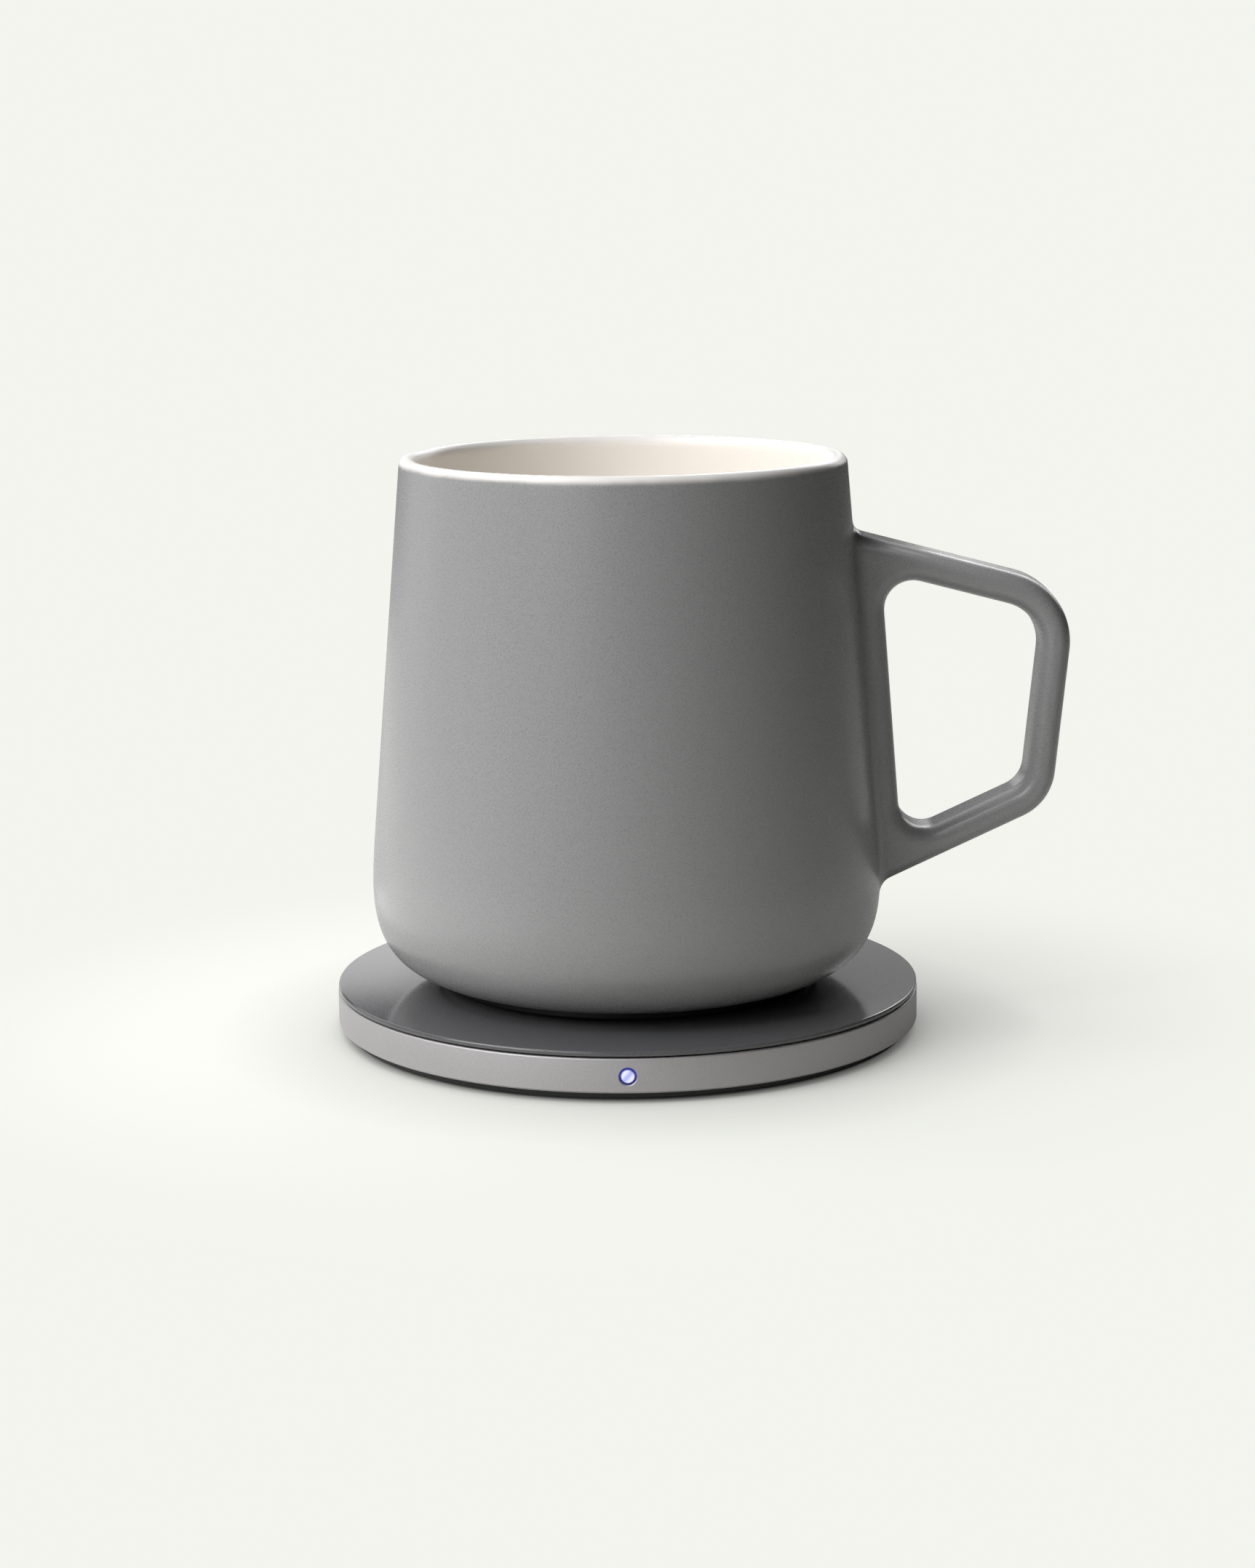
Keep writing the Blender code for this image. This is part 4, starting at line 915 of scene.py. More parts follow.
@dataclass
class Assembly:
    """Base of every sub-assembly: the workshop that makes its meshes, and its finishes."""

    shop: Workshop
    palette: Palette


@dataclass
class PorcelainMug(Assembly):
    """The mug's body and handle, fired as one piece, with soft fillets where they meet.

    Heights are above the level that the mug stands at. The handle's roots are shares of the mug's height, and
    each of its corners is a share of that height with a reach beyond the wall. Its bars are the upper, the far
    and the lower one; its soft edge is given across the outline and along the depth. The handle is measured
    only in its zone, from a distance in X and up to a distance beside it.
    """

    level: float = MUG_LEVEL
    height: float = 0.0899
    rim_radius: float = 0.03774
    belly_radius: float = 0.04317
    belly_height: float = 0.0249
    foot_radius: float = 0.0330
    foot_rise: float = 0.00147
    foot_slope: float = math.radians(13.7)
    wall_share: float = 0.495
    foot_share: float = 1.14
    lip: float = 0.0029
    wall: float = 0.0033
    bowl_fillet: float = 0.0120
    bowl_floor: float = 0.0114
    recess_radius: float = 0.0323
    step_height: float = 0.0053
    step_radius: float = 0.0295
    recess_ceiling: float = 0.0084
    recess_edge: float = 0.0003
    recess_fillet: float = 0.0010
    top_root: float = 0.8532
    bottom_root: float = 0.1835
    top_corner: Pair = (0.7442, 0.03671)
    bottom_corner: Pair = (0.3348, 0.0299)
    bars: Triple = (0.0053, 0.0050, 0.0051)
    web: float = 0.0040
    depth: float = 0.0120
    edge: float = 0.0022
    soft_edge: Pair = (0.0022, 0.0034)
    corner_fillets: Pair = (0.0122, 0.0093)
    window_fillets: tuple[float, float, float, float] = (0.0075, 0.0050, 0.0046, 0.0048)
    blend: float = 0.0016
    seat: float = 0.0016
    handle_zone: Pair = (0.02, 0.006)
    voxel: float = 0.0009
    rounds: int = 6
    exact_rounds: int = 2
    belly_steps: int = 48
    chord: float = 0.0030
    turn_steps: int = 240

    def wall_radius(self, height: float) -> float:
        """Give the outside radius of the straight wall, carried on at any height."""
        slope = (self.belly_radius - self.rim_radius) / (self.height - self.belly_height)
        return self.rim_radius + slope * (self.height - height)

    def belly(self) -> Outline:
        """Give the curve from the end of the straight wall round the belly to the foot.

        Returns:
            Points of (radius, height), from the top down.
        """
        top, foot = np.array((self.belly_radius, self.belly_height)), np.array((self.foot_radius, self.foot_rise))
        down = top - np.array((self.rim_radius, self.height))
        down /= np.linalg.norm(down)
        out = np.array((math.cos(self.foot_slope), math.sin(self.foot_slope)))
        first = top + down * (self.wall_share * (self.belly_height - self.foot_rise))
        second = foot + out * (self.foot_share * (self.belly_radius - self.foot_radius))
        points = []
        for i in range(self.belly_steps + 1):
            t = i / self.belly_steps
            s = 1.0 - t
            points.append(tuple(s**3 * top + 3 * s * s * t * first + 3 * s * t * t * second + t**3 * foot))
        return points

    def profile(self) -> tuple[Outline, int]:
        """Give the cup's profile from the middle of the bowl to the middle of the recess.

        Returns:
            The points, and how many of them belong to the bowl.
        """
        lip_radius = 0.5 * self.lip
        foot = self.wall_radius(self.bowl_floor) - self.wall
        bowl = rounded([(0.0, self.bowl_floor, 0.0), (foot, self.bowl_floor, self.bowl_fillet),
                        (self.rim_radius - self.lip, self.height - lip_radius, 0.0)], closed=False, steps=24)
        bowl = spaced(bowl, self.chord)
        lip = arc((self.rim_radius - lip_radius, self.height - lip_radius), lip_radius, math.pi, 0.0, 20)
        belly, edge = self.belly(), self.recess_edge
        outside = spaced([(self.rim_radius, self.height - lip_radius)] + belly, self.chord)
        recess = rounded([(*belly[-1], 0.0), (self.recess_radius, self.foot_rise, edge),
                          (self.recess_radius, self.step_height, edge), (self.step_radius, self.step_height, edge),
                          (self.step_radius, self.recess_ceiling, self.recess_fillet), (0.0, self.recess_ceiling, 0.0)],
                         closed=False)
        points = bowl + lip[1:] + outside[1:] + recess[1:]
        return [(r, z + self.level) for r, z in points], len(bowl) + len(lip) // 2

    def outlines(self) -> list[Outline]:
        """Give the handle's outer outline, which runs into the wall, and its finger window.

        Returns:
            The two outlines, closed, in the XZ plane.
        """
        def line(start: Vector, end: Vector, distance: float) -> tuple[Vector, Vector]:
            """Move a line to its right."""
            along = (end - start).normalized()
            return start + Vector((along.y, -along.x)) * distance, end + Vector((along.y, -along.x)) * distance

        def crossing(first: tuple[Vector, Vector], second: tuple[Vector, Vector]) -> Vector:
            """Give the point where two endless lines cross.

            Args:
                first: One line, by two points.
                second: The other line.

            Returns:
                The crossing point.
            """
            along, across = first[1] - first[0], second[1] - second[0]
            gap = second[0] - first[0]
            share = (gap.x * across.y - gap.y * across.x) / (along.x * across.y - along.y * across.x)
            return first[0] + along * share

        def corner(share: float, reach: float) -> Vector:
            """Give a corner by its share of the height and its reach beyond the wall."""
            return Vector((self.wall_radius(share * self.height) + reach, share * self.height))

        belly = sorted((z, r) for r, z in self.belly())
        root_z = self.bottom_root * self.height
        top, bottom = corner(self.top_root, 0.0), Vector((float(np.interp(root_z, *zip(*belly))), root_z))
        far_top, far_bottom = corner(*self.top_corner), corner(*self.bottom_corner)
        seat = line(top, bottom, self.seat)
        sides = [line(top, far_top, self.bars[0]), line(far_top, far_bottom, self.bars[1]),
                 line(far_bottom, bottom, self.bars[2]), line(top, bottom, -self.web)]
        outer = [(*crossing(seat, (far_bottom, bottom)), 0.0), (*far_bottom, self.corner_fillets[1]),
                 (*far_top, self.corner_fillets[0]), (*crossing(seat, (top, far_top)), 0.0)]
        window = [(*crossing(sides[i], sides[(i + 1) % 4]), self.window_fillets[i]) for i in range(4)]
        return [[(x, z + self.level) for x, z in rounded(shape, closed=True, steps=20)] for shape in (outer, window)]

    def field(self, places: np.ndarray, cup: FlatField, loop: FlatField,
              bowl_chords: int) -> tuple[np.ndarray, np.ndarray, np.ndarray]:
        """Measure places against the whole porcelain.

        Args:
            places: Points in space.
            cup: The cup's profile.
            loop: The handle's outlines.
            bowl_chords: How many of the profile's chords belong to the bowl.

        Returns:
            Signed distance, its gradient, and which places are nearest to the bowl.
        """
        radius = np.maximum(np.hypot(places[:, 0], places[:, 1]), 1e-9)
        a, flat, nearest = cup.sample(np.stack([radius, places[:, 2]], 1))
        grad_a = np.stack([flat[:, 0] * places[:, 0] / radius, flat[:, 0] * places[:, 1] / radius, flat[:, 1]], 1)
        bowl = nearest < bowl_chords
        distance, gradient = a.copy(), grad_a.copy()
        beside = np.abs(places[:, 1]) < 0.5 * self.depth + self.handle_zone[1]
        near = np.flatnonzero((places[:, 0] > self.handle_zone[0]) & beside & ~bowl)
        if len(near):
            spot = places[near]
            d, out, _ = loop.sample(spot[:, [0, 2]])
            across, along = self.soft_edge
            depth = np.abs(spot[:, 1]) - 0.5 * self.depth
            p, q = np.maximum(d + across, 0.0), np.maximum(depth + along, 0.0)
            reach = np.maximum(np.hypot(p / across, q / along), 1e-6)
            slope = np.stack([p / across**2, q / along**2], 1) / reach[:, None]
            steep = np.maximum(np.linalg.norm(slope, axis=1), 1e-6)
            in_round = (p > 0.0) & (q > 0.0)
            b = np.where(in_round, (reach - 1.0) / steep, np.maximum(d, depth))
            flat_weight = np.stack([d >= depth, d < depth], 1).astype(float)
            weight = np.where(in_round[:, None], slope / steep[:, None], flat_weight)
            grad_b = np.stack([weight[:, 0] * out[:, 0], weight[:, 1] * np.sign(spot[:, 1]),
                               weight[:, 0] * out[:, 1]], 1)
            k, near_a = self.blend, a[near]
            ka, kb = np.maximum(k - near_a, 0.0), np.maximum(k - b, 0.0)
            both = (ka > 0.0) & (kb > 0.0)
            size = np.maximum(np.hypot(ka, kb), 1e-12)
            soft = (ka[:, None] * grad_a[near] + kb[:, None] * grad_b) / size[:, None]
            plain = np.where((near_a < b)[:, None], grad_a[near], grad_b)
            distance[near] = np.where(both, k - size, np.minimum(near_a, b))
            gradient[near] = np.where(both[:, None], soft, plain)
        return distance, gradient, bowl

    def even_mesh(self, points: Outline, outlines: list[Outline]) -> Mesh:
        """Join the turned cup and the handle, and give the whole an even mesh.

        Args:
            points: The cup's profile.
            outlines: The handle's outlines.

        Returns:
            The mesh, near the exact shape.
        """
        cup = self.shop.turned("cup", points, self.turn_steps, self.palette["glazed_porcelain"])
        handle = self.shop.slab("handle", [outline[:-1] for outline in outlines], 0.5 * self.depth, self.edge, 3)
        rough = self.shop.combined("rough_mug", cup, [handle], Combine.JOIN)
        scratch = bpy.data.objects.new("rough_mug", rough)
        remesh = scratch.modifiers.new("even", "REMESH")
        remesh.mode, remesh.voxel_size, remesh.use_smooth_shade = "VOXEL", self.voxel, True
        return self.shop.evaluated(scratch)

    def build(self) -> None:
        """Join cup and handle, draw the mesh onto the exact shape and dress it."""
        points, bowl_count = self.profile()
        outlines = self.outlines()
        cup, loop = FlatField([points], open_ends=True), FlatField(outlines, open_ends=False)
        mesh = self.even_mesh(points, outlines)
        count = len(mesh.vertices)
        places = np.empty(count * 3)
        mesh.vertices.foreach_get("co", places)
        places = places.reshape(-1, 3)
        edges = np.empty(len(mesh.edges) * 2, int)
        mesh.edges.foreach_get("vertices", edges)
        edges = edges.reshape(-1, 2)
        share = np.bincount(edges.ravel(), minlength=count).astype(float)[:, None]
        for number in range(self.rounds):
            distance, gradient, bowl = self.field(places, cup, loop, bowl_count)
            # Where cup and handle blend the gradient is short, so the step is held back there
            scale = np.maximum(np.einsum("ij,ij->i", gradient, gradient), 0.25)
            places = places - gradient * (distance / scale)[:, None]
            if number < self.rounds - self.exact_rounds:
                # Half way to the middle of its neighbours, along the surface only
                total = np.stack([np.bincount(edges[:, 0], places[edges[:, 1], k], count)
                                  + np.bincount(edges[:, 1], places[edges[:, 0], k], count) for k in range(3)], 1)
                unit = gradient / np.linalg.norm(gradient, axis=1)[:, None]
                pull = 0.5 * (total / share - places)
                places = places + pull - unit * np.einsum("ij,ij->i", pull, unit)[:, None]
        distance, gradient, bowl = self.field(places, cup, loop, bowl_count)
        LOG.info("porcelain lies within %.4f mm of its exact shape",
                 1000.0 * float(np.percentile(np.abs(distance), 99.5)))
        mesh.vertices.foreach_set("co", places.ravel())
        mesh.update()
        attribute = mesh.attributes.new("inside", "FLOAT", "POINT")
        attribute.data.foreach_set("value", bowl.astype(np.float32))
        normals = gradient / np.linalg.norm(gradient, axis=1)[:, None]
        mesh.shade_smooth()
        mesh.normals_split_custom_set_from_vertices([tuple(n) for n in normals])
        self.shop.piece("porcelain_mug", mesh, Body.MUG, "porcelain", ("porcelain_body", "porcelain_handle"),
                        self.palette["glazed_porcelain"])


@dataclass
class MugBase(Assembly):
    """The black cover that closes the mug's heated base."""

    level: float = MUG_LEVEL
    radius: float = 0.0320
    floor: float = 0.0012
    rim_wall: float = 0.0012
    rim_height: float = 0.0037
    edge: float = 0.0005
    rim_edge: float = 0.0001
    floor_fillet: float = 0.0002

    def build(self) -> None:
        """Turn the cover with its round lower edge."""
        inner = self.radius - self.rim_wall
        corners = [(0.0, self.floor, 0.0), (inner, self.floor, self.floor_fillet),
                   (inner, self.rim_height, self.rim_edge), (self.radius, self.rim_height, self.rim_edge),
                   (self.radius, 0.0, self.edge), (0.0, 0.0, 0.0)]
        points = [(r, z + self.level) for r, z in rounded(corners, closed=False, steps=8)]
        mesh = self.shop.turned("mug_base_cover_fine", points, 192, self.palette["moulded_black_plastic"])
        self.shop.piece("mug_base_cover_fine", mesh, Body.MUG, "black_plastic", ("mug_base_cover",))


@dataclass
class CoasterHousing(Assembly):
    """The ring, the plate on it, the black base under it and the foot pad.

    Heights are above the floor. The chamfer at the ring's lower edge is given across and up. Each screw has a
    hole for its shank and a wider one for its head, which ends at the head's seat above the pad's pocket.
    """

    radius: float = 0.0500
    height: float = 0.0085
    standoff: float = 0.0016
    wall: float = 0.0013
    top_edge: float = 0.0003
    chamfer: Pair = (0.0006, 0.0004)
    chamfer_edge: float = 0.00012
    flange_width: float = 0.0040
    flange_top: float = 0.00685
    flange_bottom: float = 0.00625
    plate: float = 0.00075
    plate_inset: float = 0.0001
    plate_edge: float = 0.0006
    base_radius: float = 0.0484
    base_bottom: float = 0.0004
    base_top: float = 0.0021
    base_edge: float = 0.0003
    pocket_edge: float = 0.0002
    fine_edge: float = 0.0001
    rib_half_width: float = 0.0023
    rib_rise: float = 0.0003
    pad_radius: float = 0.0455
    pad_thickness: float = 0.0008
    pad_edge: float = 0.0003
    screw_circle: float = 0.0303
    screw_hole: float = 0.0011
    head_hole: float = 0.0018
    head_seat: float = 0.0008
    hole_top: float = 0.0040
    steps: int = 256

    @property
    def ring_top(self) -> float:
        """Height of the ring's upper edge."""
        return self.height - self.plate - GAP

    @property
    def middle(self) -> float:
        """Height of the middle of the ring's wall."""
        return 0.5 * (self.standoff + self.ring_top)

    def build_ring(self, tools: list[Mesh]) -> None:
        """Turn the ring with its edges, and cut the lens's hole and the port's slot.

        Args:
            tools: What is cut out of it.
        """
        inner = self.radius - self.wall
        flange = inner - self.flange_width
        across, up = self.chamfer
        corners = [(self.radius, self.ring_top, self.top_edge), (self.radius, self.standoff + up, self.chamfer_edge),
                   (self.radius - across, self.standoff, self.chamfer_edge), (inner, self.standoff, 0.0),
                   (inner, self.flange_bottom, 0.0), (flange, self.flange_bottom, 0.0), (flange, self.flange_top, 0.0),
                   (inner, self.flange_top, 0.0), (inner, self.ring_top, self.fine_edge)]
        mesh = self.shop.turned("housing_ring_fine", rounded(corners, closed=True, steps=5), self.steps,
                                self.palette["anodised_aluminium"])
        mesh = self.shop.combined("housing_ring_fine", mesh, tools, Combine.CUT)
        self.shop.piece("housing_ring_fine", mesh, Body.COASTER, "anodised_ring", ("housing_ring",))

    def build_plate(self) -> None:
        """Turn the plate with its rounded rim."""
        radius = self.radius - self.plate_inset
        bottom = self.height - self.plate
        corners = [(0.0, self.height, 0.0), (radius, self.height, self.plate_edge), (radius, bottom, self.fine_edge),
                   (0.0, bottom, 0.0)]
        mesh = self.shop.turned("top_plate_fine", rounded(corners, closed=False, steps=10), self.steps,
                                self.palette["coated_plate"])
        self.shop.piece("top_plate_fine", mesh, Body.COASTER, "plate", ("top_plate",))

    def build_base(self) -> None:
        """Turn the black base with its rib and the pad's pocket, and cut its screw holes."""
        black = self.palette["moulded_black_plastic"]
        floor, pocket, track = self.pad_thickness + GAP, self.pad_radius + GAP, self.screw_circle
        rib, rib_top = self.rib_half_width, self.base_top + self.rib_rise
        corners = [(0.0, self.base_top, 0.0), (track - rib, self.base_top, 0.0), (track - rib, rib_top, 0.0),
                   (track + rib, rib_top, 0.0), (track + rib, self.base_top, 0.0),
                   (self.base_radius, self.base_top, self.fine_edge),
                   (self.base_radius, self.base_bottom, self.base_edge), (pocket, self.base_bottom, self.pocket_edge),
                   (pocket, floor, self.fine_edge), (0.0, floor, 0.0)]
        mesh = self.shop.turned("base_cover_fine", rounded(corners, closed=False, steps=5), self.steps, black)
        hole = [(0.0, self.hole_top), (self.screw_hole, self.hole_top), (self.screw_hole, floor + self.head_seat),
                (self.head_hole, floor + self.head_seat), (self.head_hole, 0.0), (0.0, 0.0)]
        tools = []
        for quarter in range(4):
            tool = self.shop.turned("screw_hole", hole, 24, black)
            tool.transform(Matrix.Rotation(math.radians(45.0 + 90.0 * quarter), 4, "Z")
                           @ Matrix.Translation((track, 0.0, 0.0)))
            tools.append(tool)
        mesh = self.shop.combined("base_cover_fine", mesh, tools, Combine.CUT)
        self.shop.piece("base_cover_fine", mesh, Body.COASTER, "black_plastic", ("base_cover",))

    def build_pad(self) -> None:
        """Turn the pad that the coaster stands on."""
        corners = [(0.0, self.pad_thickness, 0.0), (self.pad_radius, self.pad_thickness, self.pad_edge),
                   (self.pad_radius, 0.0, self.pad_edge), (0.0, 0.0, 0.0)]
        mesh = self.shop.turned("foot_pad_fine", rounded(corners, closed=False), 192, self.palette["black_silicone"])
        self.shop.piece("foot_pad_fine", mesh, Body.COASTER, "silicone", ("foot_pad",))


@dataclass
class RingPart(Assembly):
    """Base of the parts that sit in the wall of the coaster's ring."""

    housing: CoasterHousing


@dataclass
class Indicator(RingPart):
    """The domed lens of the charging light, in its hole in the ring."""

    radius: float = 0.00115
    dome: float = 0.0002
    dome_steps: int = 12
    flange_radius: float = 0.0015
    flange_thickness: float = 0.0006
    length: float = 0.0042
    chamfer: float = 0.00010
    mouth_inset: float = 0.00003
    cut_ahead: float = 0.002
    cut_behind: float = 0.003

    def facing_front(self, name: str, points: Outline, steps: int, finish: str) -> Mesh:
        """Turn a profile round the axis that runs forward through the ring's wall.

        Args:
            name: Name of the mesh.
            points: The profile, of (radius, distance ahead of the coaster's middle).
            steps: Steps round the axis.
            finish: Name of its finish.

        Returns:
            The mesh, in place.
        """
        mesh = self.shop.turned(name, points, steps, self.palette[finish])
        mesh.transform(Matrix.Translation((0.0, 0.0, self.housing.middle)) @ Matrix.Rotation(math.pi / 2.0, 4, "X"))
        return mesh

    def cutter(self) -> Mesh:
        """Make the tool for the lens's hole, with a small chamfer at its mouth.

        Returns:
            The tool, in place.
        """
        front, hole = self.housing.radius, self.radius + GAP
        mouth = front - self.mouth_inset
        points = [(0.0, front + self.cut_ahead), (hole + self.chamfer + self.cut_ahead, front + self.cut_ahead),
                  (hole + self.chamfer, mouth), (hole, mouth - self.chamfer), (hole, front - self.cut_behind),
                  (0.0, front - self.cut_behind)]
        return self.facing_front("lens_hole", points, 64, "anodised_aluminium")

    def build(self) -> None:
        """Turn the light pipe with its dome and flange."""
        front, behind = self.housing.radius, self.housing.radius - self.housing.wall - GAP
        dome = [(self.radius * math.sin(a), front - self.dome * (1.0 - math.cos(a)))
                for a in (math.pi / 2.0 * i / self.dome_steps for i in range(self.dome_steps + 1))]
        points = dome + [(self.radius, behind), (self.flange_radius, behind),
                         (self.flange_radius, behind - self.flange_thickness),
                         (self.radius, behind - self.flange_thickness), (self.radius, front - self.length),
                         (0.0, front - self.length)]
        mesh = self.facing_front("indicator_lens_fine", points, 48, "lit_lens")
        self.shop.piece("indicator_lens_fine", mesh, Body.COASTER, "lens", ("indicator_lens",))


@dataclass
class ChargingPort(RingPart):
    """The receptacle at the back: a steel shell, and a tongue with its rows of contacts."""

    width: float = 0.00894
    height: float = 0.00326
    length: float = 0.0073
    shell: float = 0.0003
    corner: float = 0.0014
    recess: float = 0.0006
    lip: float = 0.00008
    cut: float = 0.0060
    tongue_width: float = 0.0062
    tongue_thickness: float = 0.0007
    tongue_length: float = 0.0044
    tongue_corner: float = 0.00015
    block: float = 0.0016
    contacts: int = 12
    contact_pitch: float = 0.0005
    contact_half: Triple = (0.00013, 0.0017, 0.00003)
    contact_place: float = 0.0024

    def outline(self, growth: float) -> Outline:
        """Give the rounded outline of the shell, grown by a distance."""
        return rectangle(0.5 * self.width + growth, 0.5 * self.height + growth, self.corner + growth)

    def bar(self, name: str, outlines: list[Outline], half_length: float, middle: float, edge: float = 0.0) -> Mesh:
        """Make a bar that runs through the ring's wall at the back.

        Args:
            name: Name of the mesh.
            outlines: Its outline, and that of its hole.
            half_length: Half its length.
            middle: Distance of its middle from the coaster's middle.
            edge: Radius of its round edges.

        Returns:
            The mesh, in place.
        """
        mesh = self.shop.slab(name, outlines, half_length, edge, 1 if edge else 0)
        mesh.transform(Matrix.Translation((0.0, middle, self.housing.middle)))
        return mesh

    def cutter(self) -> Mesh:
        """Make the tool for the port's slot in the ring, in place."""
        return self.bar("port_slot", [self.outline(GAP)], self.cut, self.housing.radius)

    def build(self) -> None:
        """Make the shell, the tongue and the contacts on it."""
        mouth = self.housing.radius - self.recess
        back, half = mouth - self.length, 0.5 * self.tongue_thickness
        mesh = self.bar("port_shell_fine", [self.outline(0.0), self.outline(-self.shell)], 0.5 * self.length,
                        mouth - 0.5 * self.length, self.lip)
        self.shop.piece("port_shell_fine", mesh, Body.COASTER, "steel", ("port_shell",), self.palette["stamped_steel"])
        block = self.bar("port_block", [self.outline(-self.shell - GAP)], 0.5 * self.block, back + 0.5 * self.block)
        reach = self.tongue_length + self.block
        blade = self.bar("port_blade", [rectangle(0.5 * self.tongue_width, half, self.tongue_corner, 3)], 0.5 * reach,
                         back + 0.5 * reach, self.lip)
        mesh = self.shop.combined("port_tongue_fine", block, [blade], Combine.JOIN)
        self.shop.piece("port_tongue_fine", mesh, Body.COASTER, "black_plastic", ("port_tongue",),
                        self.palette["moulded_black_plastic"])
        across, along, up = self.contact_half
        pad = self.shop.slab("contact", [rectangle(across, up)], along)
        start = (-0.5 * self.contact_pitch * (self.contacts - 1), back + self.block + self.contact_place,
                 self.housing.middle + half)
        values = {"Count": self.contacts, "Pitch": self.contact_pitch, "Start": start, "Rows": 2,
                  "Drop": -self.tongue_thickness, "Material": self.palette["gold_contact"]}
        mesh = self.shop.from_tree("port_contacts", self.shop.row, values, pad)
        self.shop.piece("port_contacts", mesh, Body.COASTER, "copper")


@dataclass(frozen=True)
class Winding:
    """The wire of one flat coil."""

    node: str
    body: Body
    inner_radius: float
    pitch: float
    turns: int
    height: float
    wire_radius: float


@dataclass
class Coils(Assembly):
    """The sending coil under the plate and the receiving coil in the mug's base."""

    windings: tuple[Winding, ...] = (
        Winding("transmitter_coil", Body.COASTER, 0.01113, 0.001821, 8, 0.00705, 0.0004),
        Winding("receiver_coil", Body.MUG, 0.0106, 0.0017, 9, 0.0106, 0.0003))
    turn_points: int = 72

    def build(self) -> None:
        """Wind both coils."""
        for wire in self.windings:
            values = {"Inner Radius": wire.inner_radius, "Pitch": wire.pitch, "Turns": wire.turns,
                      "Height": wire.height, "Wire Radius": wire.wire_radius, "Turn Points": self.turn_points,
                      "Material": self.palette["enamelled_copper"]}
            mesh = self.shop.from_tree(wire.node + "_fine", self.shop.coil, values)
            self.shop.piece(wire.node + "_fine", mesh, wire.body, "copper", (wire.node,))


@dataclass
class ChipLeads(Assembly):
    """The soldered leads under the edges of the chips: one piece of even rows for each chip."""

    width: float = 0.00024
    height: float = 0.00024
    length: float = 0.00050
    overhang: float = 0.00012
    pitch: float = 0.00060
    margin: float = 0.00060
    chips: tuple[tuple[str, Body], ...] = (
        ("charge_controller_chip", Body.COASTER), ("coil_driver_chip", Body.COASTER),
        ("port_controller_chip", Body.COASTER), ("receiver_chip", Body.MUG), ("rectifier_bridge", Body.MUG))

    def build(self, nodes: dict[str, Object]) -> None:
        """Set two rows along each pair of sides, in the gap between the chip and its board.

        Args:
            nodes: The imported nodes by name, which give the place and the size of each chip.
        """
        for name, body in self.chips:
            chip = nodes[name]
            spots = np.array([chip.matrix_world @ vertex.co for vertex in chip.data.vertices])
            centre = 0.5 * (spots.min(0) + spots.max(0))
            turn = Matrix.Rotation(math.atan2(centre[1], centre[0]), 4, "Z")
            local = np.array([turn.inverted() @ Vector(spot) for spot in spots])
            low, high = local.min(0), local.max(0)
            middle, size = 0.5 * (low + high), high - low
            leads = []
            for side in range(4):
                along, away = (size[0], size[1]) if side % 2 == 0 else (size[1], size[0])
                count = max(2, int((along - self.margin) / self.pitch))
                lead = self.shop.slab("lead", [rectangle(0.5 * self.width, 0.5 * self.height)], 0.5 * self.length)
                start = (-0.5 * self.pitch * (count - 1), 0.5 * away + self.overhang - 0.5 * self.length, 0.0)
                values = {"Count": count, "Pitch": self.pitch, "Start": start, "Rows": 1,
                          "Material": self.palette["tinned_lead"]}
                row = self.shop.from_tree("lead_row", self.shop.row, values, lead)
                place = Matrix.Translation((middle[0], middle[1], low[2] - 0.5 * GAP))
                row.transform(turn @ place @ Matrix.Rotation(0.5 * math.pi * side, 4, "Z"))
                leads.append(row)
            mesh = self.shop.joined(name.replace("_chip", "") + "_leads", leads)
            self.shop.piece(mesh.name, mesh, body, "steel")


@dataclass
class InnerParts(Assembly):
    """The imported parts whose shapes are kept: each gets the finish of what it is made of."""

    made_of: ClassVar[dict[str, tuple[str, ...]]] = {
        "plate_adhesive_tape": ("plate_adhesive",),
        "solder_masked_board": ("main_board", "receiver_board"),
        "epoxy_chip": ("charge_controller_chip", "coil_driver_chip", "port_controller_chip", "power_inductor",
                       "plate_sensor", "receiver_chip", "rectifier_bridge"),
        "ceramic_capacitor": ("resonance_capacitor_1", "resonance_capacitor_2", "input_capacitor",
                              "receiver_capacitor_1", "receiver_capacitor_2"),
        "white_carrier_plastic": ("coil_carrier",),
        "sintered_ferrite": ("transmitter_ferrite", "receiver_ferrite"),
        "light_package": ("indicator_light",),
        "silicone_seal": ("mug_base_seal",),
        "felt_insulation": ("insulation_disc",),
        "heater_film_polyimide": ("heating_element",),
        "soft_thermal_pad": ("thermal_pad",),
        "stamped_steel": ("mug_sensor", "thermal_fuse", "base_screw_1", "base_screw_2", "base_screw_3",
                          "base_screw_4"),
    }

    def dress(self, nodes: dict[str, Object]) -> None:
        """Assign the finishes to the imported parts.

        Args:
            nodes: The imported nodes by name.
        """
        for finish, names in self.made_of.items():
            for name in names:
                materials = nodes[name].data.materials
                materials.clear()
                materials.append(self.palette[finish])
                LOG.info("%s keeps its shape, in %s", name, finish)


# Studio


